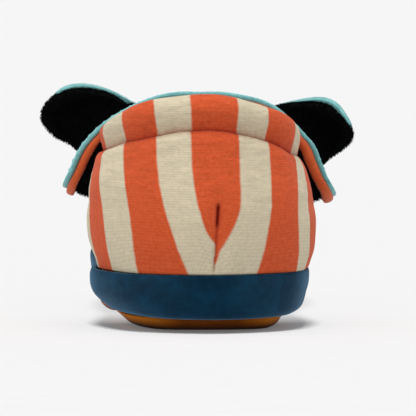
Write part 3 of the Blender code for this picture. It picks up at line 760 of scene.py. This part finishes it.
# %% Copy the collar and soften it
SETTLE = 1.0
SADDLE_DIP, SADDLE_ENDS = (-38.0, -18.0), (-38.0, -20.0)
LOW_EDGE, EDGE_ENDS = 0.5, (0.3, 2.0)
SIDE_SWELL, SIDE_TURNS = 1.0, (0.5, 1.1)
CROWN, CROWN_STARTS, CROWN_ENDS = 0.85, (4.0, 10.0), (-72.0, -58.0)
SHIFT_ENDS, ROLL_PUCKER_REACH = (1.0, 8.0), 4.0
COLLAR_LUMPS = ((0.22, 9.0, 3), (0.12, 4.0, 4))
WIDE_SHADE, WIDE_REACH, SHARP_SHADE, SHARP_REACH = 0.3, 3.6, 0.6, 0.9
collar = dressed_copy("collar")
places = points_of(collar)
normals = rows_of(collar.data.vertices, "normal")
places += normals * uneven(places, COLLAR_LUMPS)[:, None]
x, y, z = places.T
behind = y < SADDLE_BACK
above_seam = from_seam(places, np.min)
flat_way = out_from_heel(places)
facing_out = (normals[:, :2] * flat_way).sum(axis=1) > 0
places[:, 2] -= SETTLE * fade(y, *SADDLE_DIP) + LOW_EDGE * (1 - fade(above_seam, *EDGE_ENDS)) * behind
for way in (1.0, -1.0):
    side = fade(way * heel_angle(places), *SIDE_TURNS) * (1 - fade(y, *SADDLE_ENDS)) * facing_out
    places[:, :2] += flat_way * (SIDE_SWELL * side)[:, None]
places[:, 2] += CROWN * fade(above_seam, *CROWN_STARTS) * (1 - fade(y, *CROWN_ENDS))
places[:, 2] += seam_shift(places) * (1 - fade(above_seam, *SHIFT_ENDS))
places[:, :2] += flat_way * pucker(places, above_seam, ROLL_PUCKER_REACH, 7)[:, None]
# The roll's colour is darkened over its lower half and sharply along the seam: painted shade.
fold_shade = WIDE_SHADE * bell(above_seam, WIDE_REACH) + SHARP_SHADE * bell(above_seam, SHARP_REACH)
write_painted_shade(collar, fold_shade * facing_out)
print("collar roll is", above_seam.max().round(1), "mm high")

# %% Lay out its cloth, then tuck its lower edge in
COLLAR_REACH, OUTER_SHARE = 25.5, 0.95
COLLAR_TUCK, COLLAR_ROUND = 2.1, 5.0
put_points(collar, places)
write_cloth_maps(collar, ridge, ankle, COLLAR_PULLS, COLLAR_REACH, outer_share=OUTER_SHARE)
tuck = COLLAR_TUCK * bell(above_seam, COLLAR_ROUND) * facing_out * behind
places[:, :2] -= flat_way * tuck[:, None]
put_points(collar, places)
quarter_values = np.empty(len(collar.data.loops) * 2, dtype=np.float32)
collar.data.uv_layers["quarter"].data.foreach_get("uv", quarter_values)
collar.data.uv_layers["vamp"].data.foreach_set("uv", quarter_values)
collar.data.materials.append(jersey)

# %% [markdown]
# ## Navy wall
# The sole's wall is a moulded navy band with a fine matt grain. Moulded rubber takes on a pale
# bloom where it is seen at a low angle, which a bluish sheen gives. Its colour is also painted lighter
# at the sides and darker at the back of the heel's middle: painted light and shade. A painted mask
# could say where, but two coordinates do: how far aside and how far past the heel a point lies.

# %% The navy rubber material
WALL_GRAIN, WALL_MOTTLE, WALL_CLOUD = 10 / 9, 100 / 33, 100 / 6
MOTTLE_SHARE, MOTTLE_LOW, MOTTLE_HIGH = 0.7, 0.55, 1.15
PAINTED_LIGHT_ASIDE, PAINTED_LIGHT_AHEAD = (4.0, 30.0), (-75.0, -50.0)
# Matt moulded rubber: a deep colour with hardly a highlight, and a soft blue bloom along its edge.
# The grain of such a mould is much finer than a pixel, and is drawn about a millimetre coarse.
navy, tree = new_material("moulded_navy_rubber")
place = add(tree, COORDS).outputs["Object"]
grain = add(tree, NOISE, {"Vector": place, "Scale": 1 / (WALL_GRAIN * MM), "Detail": 3.0,
                          "Roughness": 0.6}).outputs["Fac"]
cloud = add(tree, NOISE, {"Vector": place, "Scale": 1 / (WALL_CLOUD * MM), "Detail": 3.0}).outputs["Fac"]
mottle = add(tree, NOISE, {"Vector": place, "Scale": 1 / (WALL_MOTTLE * MM), "Detail": 4.0,
                           "Roughness": 0.7}).outputs["Fac"]
mottle = add(tree, MATH, {0: mottle, 1: MOTTLE_SHARE, 2: cloud}, operation="MULTIPLY_ADD").outputs[0]
mottle = add(tree, RANGE, {0: mottle, 1: MOTTLE_LOW, 2: MOTTLE_HIGH}).outputs[0]
# The sides and the wall ahead take the lighter tone and the back of the heel's middle the darker one: painted
# light and shade.
outside_painted_shade = add(tree, MIX, {0: mottle, A: linear("#0a2233"), B: linear("#17445f")},
            data_type="RGBA").outputs[MIXED]
painted_heel_shade = add(tree, MIX, {0: mottle, A: linear("#001726"), B: linear("#03344c")},
             data_type="RGBA").outputs[MIXED]
axes = add(tree, SPLIT, {0: place})
aside = add(tree, MATH, {0: axes.outputs["X"]}, operation="ABSOLUTE").outputs[0]
aside = add(tree, RANGE, {0: aside, 1: PAINTED_LIGHT_ASIDE[0] * MM, 2: PAINTED_LIGHT_ASIDE[1] * MM}).outputs[0]
ahead = add(tree, RANGE, {0: axes.outputs["Y"], 1: PAINTED_LIGHT_AHEAD[0] * MM, 2: PAINTED_LIGHT_AHEAD[1] * MM}).outputs[0]
painted_side_light = add(tree, MATH, {0: aside, 1: ahead}, operation="MAXIMUM").outputs[0]
tone = add(tree, MIX, {0: painted_side_light, A: painted_heel_shade, B: outside_painted_shade}, data_type="RGBA").outputs[MIXED]
bump = add(tree, BUMP, {"Strength": 0.35, "Distance": 0.15 * MM, "Height": grain}).outputs["Normal"]
finish_material(navy, {"Roughness": 0.6, "Specular IOR Level": 0.06, "Sheen Weight": 0.42,
                       "Sheen Roughness": 0.3, "Sheen Tint": linear("#6fb4e0"),
                       "Base Color": tone, "Normal": bump})

# %% [markdown]
# ## Honey gum
# The outsole is honey gum rubber, a little see-through, so it glows where light comes through its
# edge. A glass-like shader could let light pass, but gum is cloudy, and a little subsurface
# scattering is closer to it. Its colour is painted darker under the heel's middle than at its sides,
# painted shade, and darkest of all at the very foot: a painted contact shadow.

# %% The gum rubber material
GUM_CLOUD, TREAD = 100 / 7, 100 / 26  # a small pimple about every 4 mm keeps a slipper from slipping
PAINTED_SHADE_ASIDE, PAINTED_FOOT_SHADE = (8.0, 22.0), (1.0, 3.2)
GLOW_DEPTH = (0.004, 0.0018, 0.0006)  # metres that red, green and blue light go in
# Gum rubber: warm amber, dull on top, and lit a little from within along its thin edge.
gum, tree = new_material("honey_gum_rubber")
place = add(tree, COORDS).outputs["Object"]
cloud = add(tree, NOISE, {"Vector": place, "Scale": 1 / (GUM_CLOUD * MM), "Detail": 4.0}).outputs["Fac"]
# The heel's middle is painted darker than its sides: painted shade, as on the wall above.
painted_lit_sides = add(tree, MIX, {0: cloud, A: linear("#8a4603"), B: linear("#a8640a")},
            data_type="RGBA").outputs[MIXED]
painted_middle_shade = add(tree, MIX, {0: cloud, A: linear("#4c2000"), B: linear("#602f01")},
              data_type="RGBA").outputs[MIXED]
axes = add(tree, SPLIT, {0: place})
aside = add(tree, MATH, {0: axes.outputs["X"]}, operation="ABSOLUTE").outputs[0]
painted_side_light = add(tree, RANGE, {0: aside, 1: PAINTED_SHADE_ASIDE[0] * MM, 2: PAINTED_SHADE_ASIDE[1] * MM}).outputs[0]
tone = add(tree, MIX, {0: painted_side_light, A: painted_middle_shade, B: painted_lit_sides}, data_type="RGBA").outputs[MIXED]
# The very foot fades to near black: a painted contact shadow.
outside_painted_shade = add(tree, RANGE, {0: axes.outputs["Z"], 1: PAINTED_FOOT_SHADE[0] * MM, 2: PAINTED_FOOT_SHADE[1] * MM}).outputs[0]
tone = add(tree, MIX, {0: outside_painted_shade, A: linear("#1e0700"), B: tone}, data_type="RGBA").outputs[MIXED]
tread = add(tree, "ShaderNodeTexVoronoi", {"Vector": place, "Scale": 1 / (TREAD * MM),
                                           "Randomness": 0.0}).outputs["Distance"]
bump = add(tree, BUMP, {"Strength": 0.5, "Distance": 0.4 * MM, "Height": tread}).outputs["Normal"]
finish_material(gum, {"Roughness": 0.5, "Specular IOR Level": 0.02, "Subsurface Weight": 0.15,
                      "Subsurface Radius": GLOW_DEPTH, "Base Color": tone, "Normal": bump})

# %% [markdown]
# ## Sole pieces
# Wall and outsole are moulded and hold their shape, so their copies keep creased edges. Rubber that
# has been worn gives a little all the same: the wall leans at the heel, and the outsole's edge turns
# up there and spreads at the outer side of the waist, where a thin line of gum shows. Lattices
# could bend them, but a table of heights and moves is easier to read and to correct.

# %% Helpers that ease and lift a piece
SIDE_STARTS = (8.0, 20.0)
STANDING_FACE, LIFT_FADE, LIFT_ENDS = (0.2, 2.0), 3.0, (-50.0, 0.0)


def ease(piece, outer, inner, heel_only=False):
    """Moves the two sides in x, each by its own table of heights and moves."""
    places = points_of(piece)
    x, y, z = places.T
    move = np.where(x < HEEL_X, np.interp(z, *zip(*outer)), np.interp(z, *zip(*inner)))
    move = move * fade(np.abs(x), *SIDE_STARTS)
    places[:, 0] += move * (1 - fade(y, *HEEL_ENDS) if heel_only else 1.0)
    put_points(piece, places)


def lift(piece, below, rise):
    """Raises the part of a sole piece under that height at the heel, apart from its standing face."""
    places = points_of(piece)
    low = band(places[:, 2], STANDING_FACE, (below - LIFT_FADE, below))
    places[:, 2] += rise * low * (1 - fade(places[:, 1], *LIFT_ENDS))
    put_points(piece, places)


# %% The sole wall
WALL_OUTER = ((2.6, 2.8), (3.8, 2.3), (5.1, 1.6), (6.4, 0.8), (7.6, 0.1), (8.9, -0.7), (10.2, -1.2),
              (12.0, -1.5), (15.2, -1.2), (18.0, -0.7))
WALL_INNER = ((2.6, -1.6), (3.8, -1.2), (5.1, -0.8), (6.4, -0.4), (10.2, -0.1), (12.7, 0.4), (18.0, 0.5))
sole_wall = dressed_copy("sole_wall", sharp_angle=40, crease=0.85, corrections=0)
sole_wall.data.materials.append(navy)
ease(sole_wall, WALL_OUTER, WALL_INNER, heel_only=True)
lift(sole_wall, below=6.0, rise=0.6)

# %% The outsole
FOOT_EDGE, FOOT_EDGE_ENDS = (0.0, 2.6), (-50.0, 10.0)
OUTER_ROLL, OUTER_ROLL_ENDS = 0.8, (-24.0, -6.0)
INNER_ROLL, INNER_ROLL_STARTS = 0.3, (6.0, 24.0)
HEEL_SPRING, SPRING_ENDS, SPRING_TOP = 1.15, (-88.0, -64.0), (0.5, 4.5)
GUM_OUTER, GUM_INNER = ((0.0, 2.4), (5.0, 2.4)), ((0.0, -1.2), (5.0, -1.2))
WAIST_FLARE = ((-52.0, 0.0), (-42.0, 1.2), (-30.0, 4.0), (-18.0, 4.4), (0.0, 3.4), (15.0, 3.0),
               (35.0, 2.0), (60.0, 0.0))
outsole = dressed_copy("outsole", sharp_angle=40, crease=0.85, corrections=0)
outsole.data.materials.append(gum)
places = points_of(outsole)
x, y, z = places.T
under = (1 - fade(z, *FOOT_EDGE)) * (1 - fade(y, *FOOT_EDGE_ENDS))
roll = OUTER_ROLL * (1 - fade(x, *OUTER_ROLL_ENDS)) + INNER_ROLL * fade(x, *INNER_ROLL_STARTS)
places[:, 0] += under * roll
places[:, 2] += HEEL_SPRING * (1 - fade(y, *SPRING_ENDS)) * (1 - fade(z, *SPRING_TOP))
put_points(outsole, places)
ease(outsole, GUM_OUTER, GUM_INNER, heel_only=True)
places = points_of(outsole)
places[:, 0] -= np.interp(places[:, 1], *zip(*WAIST_FLARE)) * fade(-places[:, 0], *SIDE_STARTS)
put_points(outsole, places)
lift(outsole, below=8.0, rise=1.2)

# %% [markdown]
# ## Felt
# The saddle over the instep and the two ears are cut from wool felt, teal outside and orange under
# the saddle, and the insole is a thick grey-green felt. Felt is a mat of short fibres, so it shows
# a cloudy heather, a soft uneven surface and a pale bloom along its edges. One recipe serves all
# three, since only the wool's colour differs.

# %% Three felt materials
FIBRE, FELT_CLOUD = 10 / 11, 100 / 13
CLOUD_SHARE, FELT_LOW, FELT_HIGH = 0.5, 0.45, 1.05
FELT_COLOURS = {"teal": ("#4c9394", "#92cccb"), "orange": ("#b0431c", "#d86a38"),
                "sea_grey": ("#84a0a0", "#a6bdbc")}
felts = {}
# Wool felt swallows light: no gloss, a heather of darker and paler wool, and a pale bloom at edges.
# Its fibres are thinner than a pixel, so they are drawn in tangles about a millimetre across.
for name, (dark, light) in FELT_COLOURS.items():
    felts[name], tree = new_material(name + "_wool_felt")
    place = add(tree, COORDS).outputs["Object"]
    fibre = add(tree, NOISE, {"Vector": place, "Scale": 1 / (FIBRE * MM), "Detail": 5.0, "Roughness": 0.7,
                              "Distortion": 1.2}).outputs["Fac"]
    cloud = add(tree, NOISE, {"Vector": place, "Scale": 1 / (FELT_CLOUD * MM), "Detail": 4.0}).outputs["Fac"]
    heather = add(tree, MATH, {0: cloud, 1: CLOUD_SHARE, 2: fibre}, operation="MULTIPLY_ADD").outputs[0]
    heather = add(tree, RANGE, {0: heather, 1: FELT_LOW, 2: FELT_HIGH}).outputs[0]
    tone = add(tree, MIX, {0: heather, A: linear(dark), B: linear(light)}, data_type="RGBA").outputs[MIXED]
    bump = add(tree, BUMP, {"Strength": 0.5, "Distance": 0.25 * MM, "Height": fibre}).outputs["Normal"]
    finish_material(felts[name], {"Roughness": 0.95, "Specular IOR Level": 0.15, "Sheen Weight": 0.35,
                                  "Sheen Roughness": 0.45, "Base Color": tone, "Normal": bump})

# %% [markdown]
# ## Insole
# A flat bed of thick felt lies in the tray, and shows only from above, down in the mouth. It could
# be worn into a footprint, but a new one is flat, so it is the solid's own shape with its edge
# rounded.

# %% The insole
insole = dressed_copy("insole", sharp_angle=60, crease=0.4, corrections=0)
insole.data.materials.append(felts["sea_grey"])

# %% [markdown]
# ## Saddle and ears
# The saddle is a band of teal felt with an orange one under it, laid over the collar; its ends hang
# free as tabs, and the two ears stand on it. Stiff felt springs: it stands off at the shoulders and
# spreads at its ends. A cloth simulation would let it sag, so the felt is nudged into place instead,
# in the way that fingers would press it.

# %% Helpers that press felt into place
def settle(piece, drop):
    """Lets a piece of the saddle sink onto the collar."""
    places = points_of(piece)
    places[:, 2] -= drop
    put_points(piece, places)


def nudge(piece, presses):
    """Moves the felt near each spot, seen from behind: spot x and z, reach, and the move in x and z."""
    places = points_of(piece)
    x, z = places[:, 0].copy(), places[:, 2].copy()
    for spot_x, spot_z, reach, move_x, move_z in presses:
        share = np.exp(-((x - spot_x) ** 2 + (z - spot_z) ** 2) / reach ** 2)
        places[:, 0] += share * move_x
        places[:, 2] += share * move_z
    put_points(piece, places)


# %% Helpers that let stiff felt stand off
TAB_SPREAD_INNER, TAB_SPREAD_OUTER, TAB_HEIGHTS = 1.5, -0.6, (34.0, 54.0)
SHOULDER_OUTER = ((36, -0.5), (39, -1.0), (44.5, -1.4), (47, -2.0), (49.5, -2.5), (52, -2.8),
                  (55, -2.6), (57.5, -2.3), (60, -1.7), (62.5, -0.8), (66, 0.0))
SHOULDER_INNER = ((36.5, 0.0), (39, -0.3), (42, -0.4), (44.5, 0.2), (47, 0.8), (49.5, 1.8), (52, 2.4),
                  (55, 2.0), (60, 1.8), (62.5, 1.8), (65, 1.2), (67.5, 0.0))
CREST, CREST_X, CREST_WIDTH = 0.8, 21.0, 8.0


def flare(piece):
    """Spreads the saddle's two tabs a little further from the wall at their lower ends."""
    places = points_of(piece)
    spread = np.where(places[:, 0] > 0, TAB_SPREAD_INNER, TAB_SPREAD_OUTER)
    places[:, 0] += spread * (1 - fade(places[:, 2], *TAB_HEIGHTS))
    put_points(piece, places)


def shoulder(piece):
    """Rounds the saddle's two shoulders out over the collar, as stiff felt stands."""
    ease(piece, SHOULDER_OUTER, SHOULDER_INNER)
    places = points_of(piece)
    places[:, 2] += CREST * bell(places[:, 0] - CREST_X, CREST_WIDTH)
    put_points(piece, places)


# %% The saddle and its lining
TAB_PRESSES = [(-41.0, 35.0, 6.0, 0.6, 1.6), (42.0, 35.0, 6.0, -0.3, 0.8)]
PROUD, PROUD_INNER, PROUD_STARTS = 0.2, 0.35, (5.0, 20.0)
saddle = dressed_copy("saddle_felt", sharp_angle=50, crease=0.3)
saddle.data.materials.append(felts["teal"])
saddle_lining = dressed_copy("saddle_lining", sharp_angle=50, crease=0.3)
saddle_lining.data.materials.append(felts["orange"])
for piece in (saddle, saddle_lining):
    settle(piece, SETTLE)
    flare(piece)
    shoulder(piece)
nudge(saddle, TAB_PRESSES)
places = points_of(saddle_lining)
proud = PROUD + PROUD_INNER * fade(places[:, 0], *PROUD_STARTS)
put_points(saddle_lining, places + rows_of(saddle_lining.data.vertices, "normal") * proud[:, None])

# %% The ears
EAR_PRESSES = {"outer": [(-46.5, 60.0, 8.0, 1.4, 0.0), (-35.5, 47.5, 7.0, -0.3, 3.0)],
               "inner": [(31.0, 66.0, 8.0, 0.0, -1.0), (45.5, 51.0, 7.0, 0.4, -0.3),
                         (47.0, 57.0, 6.0, -0.5, 0.0), (37.0, 45.0, 6.0, 1.6, 1.0)]}
ears = {}
for side, presses in EAR_PRESSES.items():
    ears[side] = dressed_copy("ear_felt_" + side, sharp_angle=50, crease=0.6)
    ears[side].data.materials.append(felts["teal"])
    settle(ears[side], SETTLE)
    nudge(ears[side], presses)

# %% [markdown]
# ## Black plush
# Pads of black plush back the ears and sit inside the saddle's flaring tabs. Plush is a dense
# stand of short fibres. A particle system could grow them, but its strands don't export as a
# mesh. One tapering strand is therefore modelled, and copied thousands of times over the pad's
# skin, leaning the way the pile was brushed.

# %% The plush material
TUFT = 2.0  # fibres cling together in tufts about this wide
# Cut black pile traps light between its fibres: the eye sees near black, and tufts only at the rim.
plush, tree = new_material("black_plush_pile")
place = add(tree, COORDS).outputs["Object"]
tuft = add(tree, NOISE, {"Vector": place, "Scale": 1 / (TUFT * MM), "Detail": 3.0}).outputs["Fac"]
tone = add(tree, MIX, {0: tuft, A: linear("#020202"), B: linear("#0a0a0b")},
           data_type="RGBA").outputs[MIXED]
bump = add(tree, BUMP, {"Strength": 0.6, "Distance": 0.3 * MM, "Height": tuft}).outputs["Normal"]
finish_material(plush, {"Roughness": 0.8, "Specular IOR Level": 0.05, "Base Color": tone, "Normal": bump})

# %% One strand: a triangle drawn up in three steps, each narrower, to a point
STRAND_STEPS = ((0.45, 0.75), (0.33, 0.6), (0.22, 0.02))
TIP_WELD = 0.02
bpy.ops.object.select_all(action="DESELECT")
bpy.ops.mesh.primitive_circle_add(vertices=3, radius=1.0)
strand = bpy.context.object
bpy.ops.object.mode_set(mode="EDIT")
bpy.ops.mesh.select_mode(type="VERT")
bpy.ops.mesh.select_all(action="SELECT")
for step, narrowing in STRAND_STEPS:
    bpy.ops.mesh.extrude_region_move(TRANSFORM_OT_translate={"value": (0, 0, step)})
    bpy.ops.transform.resize(value=(narrowing, narrowing, 1.0))
bpy.ops.mesh.select_all(action="SELECT")
bpy.ops.mesh.remove_doubles(threshold=TIP_WELD)
bpy.ops.object.mode_set(mode="OBJECT")
strand_points = rows_of(strand.data.vertices, "co")
strand_faces = [tuple(face.vertices) for face in strand.data.polygons]
bpy.data.objects.remove(strand)
print("one strand:", len(strand_points), "points,", len(strand_faces), "faces")

# %% Helpers that copy a small shape many times
def repeat_faces(faces, point_count, copies):
    """The faces of one shape, numbered for that many copies laid one after another."""
    return [tuple(i + n * point_count for i in face) for n in range(copies) for face in faces]


def new_piece(name, places, faces, materials):
    """A mesh piece from places in millimetres, shaded smooth and left selected."""
    mesh = bpy.data.meshes.new(name)
    mesh.from_pydata((places * MM).tolist(), [], faces)
    piece = bpy.data.objects.new(name, mesh)
    scene.collection.objects.link(piece)
    for material in materials:
        mesh.materials.append(material)
    select_only(piece)
    bpy.ops.object.shade_smooth()
    return piece


# %% A helper that picks where strands grow
def roots_on(piece, count, chance, choose):
    """Picks that many places on the skin, evenly by area where choose allows, with their normals."""
    mesh = piece.data
    mesh.calc_loop_triangles()
    corners = np.array([t.vertices[:] for t in mesh.loop_triangles])
    a, b, c = points_of(piece)[corners].transpose(1, 0, 2)
    normal = np.cross(b - a, c - a)
    area = np.linalg.norm(normal, axis=1) / 2
    normal /= np.maximum(2 * area, 1e-9)[:, None]
    weight = area * choose((a + b + c) / 3, normal)
    pick = chance.choice(len(area), size=count, p=weight / weight.sum())
    u, v = chance.random(count), chance.random(count)
    u, v = np.where(u + v > 1, 1 - u, u)[:, None], np.where(u + v > 1, 1 - v, v)[:, None]
    return a[pick] + (b - a)[pick] * u + (c - a)[pick] * v, normal[pick]


# %% A helper that plants strands
WAYWARD = 0.35
ROOT_DEPTH = 0.2
LENGTHS = (0.7, 1.2)


def plant(piece, count, length, thickness, brushed, seed, choose, apart=None):
    """Grows strands on the faces that choose picks, joined to the piece, or as a piece of its own if apart is
    given.
    """
    chance = np.random.default_rng(seed)
    root, normal = roots_on(piece, count, chance, choose)
    way = normal + WAYWARD * chance.normal(size=(count, 3))
    way /= np.linalg.norm(way, axis=1)[:, None]
    across = np.cross(way, chance.normal(size=(count, 3)))
    across /= np.linalg.norm(across, axis=1)[:, None]
    aside = np.cross(way, across)
    long = (length * chance.uniform(*LENGTHS, count))[:, None, None]
    px, py, pz = strand_points.T[:, None, :, None]
    width = across[:, None, :] * px + aside[:, None, :] * py
    grown = root[:, None, :] + thickness * width
    grown = grown + long * (way[:, None, :] * pz + np.array(brushed) * pz ** 2) - ROOT_DEPTH * way[:, None, :]
    faces = repeat_faces(strand_faces, len(strand_points), count)
    pile = new_piece(piece.name + "_pile", grown.reshape(-1, 3), faces, piece.data.materials)
    print(piece.name, "has", count, "strands of", len(strand_faces), "faces")
    if apart:
        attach(pile, "root")
        return pile
    piece.select_set(True)
    bpy.context.view_layer.objects.active = piece
    bpy.ops.object.join()
    return piece


# %% A pad inside a tab
TAB_SETTLE = 0.2
TAB_PILE = (5000, 1.3, 0.13, (0.0, -0.2, -0.2), 11)  # strands, length, thickness, brushed way, seed
BACK_SHARE, BACK_TURNS = 0.3, (-0.3, 0.3)
TAB_FACING, LOBE_FACING = 0.3, 0.5  # how far a face may look ahead and still carry pile


def tab_pad(side, way):
    """The pad inside one tab: it follows the flaring felt outside, and the wall less at its back."""
    tab = dressed_copy("tab_plush_" + side)
    tab.data.materials.append(plush)
    settle(tab, TAB_SETTLE)
    flare(tab)
    before = points_of(tab)
    shoulder(tab)
    outward = rows_of(tab.data.vertices, "normal")[:, 0] * way
    share = BACK_SHARE + (1 - BACK_SHARE) * fade(outward, *BACK_TURNS)
    put_points(tab, before + (points_of(tab) - before) * share[:, None])
    plant(tab, *TAB_PILE, lambda centre, normal: (normal[:, 1] < TAB_FACING) & (centre[:, 1] < 0.0))


# %% A pad on the back of an ear
LOBE_PRESSES = {"outer": [(-45.0, 57.0, 7.0, -0.4, 0.1), (-35.5, 47.5, 7.0, -0.6, 2.4),
                          (-18.5, 64.0, 5.0, -0.9, -0.6), (-42.0, 64.0, 6.0, -0.9, 0.7)],
                "inner": [(31.0, 66.0, 8.0, 0.0, -0.4), (46.0, 52.0, 7.0, 2.4, -0.9),
                          (37.0, 45.0, 6.0, 1.6, -0.2), (24.0, 63.0, 6.0, -1.0, 0.8)]}
LOBE_FOOT = {"outer": (-28.0, 57.0), "inner": (31.0, 55.0)}
LOBE_SHIFT = {"outer": (-0.3, 0.0), "inner": (0.3, 0.1)}
LOBE_GROWTH = 1.06
LOBE_PILE = (6000, 0.85, 0.11, (0.0, -0.2, -0.1), 12)


def ear_pad(side):
    """The pad on one ear: pressed into its outline, then grown a little from the ear's foot."""
    lobe = dressed_copy("ear_plush_" + side)
    lobe.data.materials.append(plush)
    settle(lobe, SETTLE)
    nudge(lobe, LOBE_PRESSES[side])
    places = points_of(lobe)
    for axis, foot, shift in zip((0, 2), LOBE_FOOT[side], LOBE_SHIFT[side]):
        places[:, axis] = foot + (places[:, axis] - foot) * LOBE_GROWTH + shift
    put_points(lobe, places)
    return plant(lobe, *LOBE_PILE, lambda centre, normal: normal[:, 1] < LOBE_FACING)


# %% All four pads
lobes = {}
for side, way in (("outer", -1.0), ("inner", 1.0)):
    tab_pad(side, way)
    lobes[side] = ear_pad(side)

# %% [markdown]
# ## Stitches
# The saddle's felt and its lining are sewn together along the front and back edges, with thread
# dyed like the felt. Bump could hint at stitches, but real thread stands up and casts a shadow. One
# stitch is modelled: a short thread that dips into the felt at both ends. Its copies are laid on
# the felt by casting rays at the saddle, three millimetres apart, and joined.

# %% One stitch
THREAD_RADIUS, STITCH_LENGTH = 0.22, 2.1
END_SHARE, END_DIP = 0.7, 0.32
bpy.ops.object.select_all(action="DESELECT")
bpy.ops.mesh.primitive_cylinder_add(vertices=6, radius=THREAD_RADIUS, depth=1.0,
                                    rotation=(0, math.pi / 2, 0))
stitch = bpy.context.object
bpy.ops.object.transform_apply(location=True, rotation=True, scale=True)
bpy.ops.object.mode_set(mode="EDIT")
bpy.ops.mesh.select_mode(type="VERT")
bpy.ops.mesh.select_all(action="SELECT")
bpy.ops.mesh.subdivide(number_cuts=1)
bpy.ops.object.mode_set(mode="OBJECT")
stitch_points = rows_of(stitch.data.vertices, "co")
ends = np.abs(stitch_points[:, 0]) > 0.4
stitch_points[:, 0] *= STITCH_LENGTH
stitch_points[ends, 1:] *= END_SHARE
stitch_points[ends, 2] -= END_DIP
stitch_faces = [tuple(face.vertices) for face in stitch.data.polygons]
bpy.data.objects.remove(stitch)
print("one stitch:", len(stitch_points), "points,", len(stitch_faces), "faces")

# %% Sew the saddle's edges
SADDLE_AXIS = Vector((-0.2, 0.0, 25.0))
SEWN_EDGES = (-16.6, 15.4)
SEWN_TURNS = np.radians(np.arange(-66.0, 66.5, 1.0))
ABOVE_SADDLE = 80.0
STITCH_STEP, EDGE_MARGIN, THREAD_PROUD = 3.0, 2.0, 0.10


def spot_at(way, lengths, spots):
    """The place that far along a row of spots."""
    return np.array([np.interp(way, lengths, spots[:, axis]) for axis in range(3)])


sewn_points = []
for edge_y in SEWN_EDGES:
    spots, ways_up = [], []
    for turn in SEWN_TURNS:
        out = Vector((math.sin(turn), 0.0, math.cos(turn)))
        start = (SADDLE_AXIS + out * ABOVE_SADDLE + Vector((0.0, edge_y, 0.0))) * MM
        hit, spot, normal, _ = saddle.ray_cast(start, -out)
        if hit:
            spots.append(np.array(spot) * TO_MM)
            ways_up.append(np.array(normal))
    spots = np.array(spots)
    lengths = np.concatenate([[0.0], np.cumsum(np.linalg.norm(np.diff(spots, axis=0), axis=1))])
    for at in np.arange(EDGE_MARGIN, lengths[-1] - EDGE_MARGIN, STITCH_STEP):
        spot, ahead = spot_at(at, lengths, spots), spot_at(at + 1.0, lengths, spots)
        along = (ahead - spot) / np.linalg.norm(ahead - spot)
        up = ways_up[int(np.argmin(np.abs(lengths - at)))]
        ways = np.array([along, np.cross(up, along), up])
        sewn_points.append(spot + stitch_points @ ways + THREAD_PROUD * up)
stitches = new_piece("saddle_stitches", np.concatenate(sewn_points),
                     repeat_faces(stitch_faces, len(stitch_points), len(sewn_points)), [felts["teal"]])
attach(stitches, "root")
print("stitches:", len(sewn_points))

# %% [markdown]
# ## Felt fuzz and sheet sizes
# Cut felt sheds short fibres along its edges. The strand of the plush is planted again, much
# finer, on the narrow edge faces, as pieces of their own, so that each felt can still be measured
# as the flat sheet it was cut from.

FELT_FUZZ = (0.45, 0.035, (0.0, 0.0, 0.1), 21)  # length, thickness, brushed way, seed
EDGE_FACING = 0.6


def sheet_area(piece):
    """The area of one side of a felt in square metres: half its skin."""
    return sum(face.area for face in piece.data.polygons) / 2


for piece, slot_name, count, flat, held, rests_on in (
        (saddle, "teal_felt", 3000, (0.038, 0.116), "laid", [collar, saddle_lining]),
        (saddle_lining, "orange_felt", 1500, (0.038, 0.112), "laid", [collar]),
        (ears["outer"], "teal_felt", 1200, (0.031, 0.026), "stretched", [lobes["outer"]]),
        (ears["inner"], "teal_felt", 1200, (0.031, 0.026), "stretched", [lobes["inner"]])):
    on_saddle = piece in (saddle, saddle_lining)
    fuzz = plant(piece, count, *FELT_FUZZ,
                 lambda centre, normal: (np.abs(normal[:, 1]) > EDGE_FACING) == on_saddle, apart=slot_name)
    print(piece.name, "is", round(sheet_area(piece) * 1e6), "square millimetres of felt")

# %% [markdown]
# ## A clean floor
# Large lamps close above would wash out the shadow of all that stands higher than the sole. A sun
# can't be close, so the floor's sun is told to pass everything above the sole, and the sole alone
# marks the floor.

# %% Keep the upper's shadow off the floor
ABOVE_SOLE = ("saddle", "ear_", "tab_", "upper", "collar")
high_up = bpy.data.collections.new("casts_no_floor_shadow")
for piece in list(scene.objects):
    if piece.type == "MESH" and any(word in piece.name for word in ABOVE_SOLE):
        high_up.objects.link(piece)
for linked in high_up.collection_objects:
    linked.light_linking.link_state = "EXCLUDE"
bpy.data.objects["floor_sun"].light_linking.blocker_collection = high_up
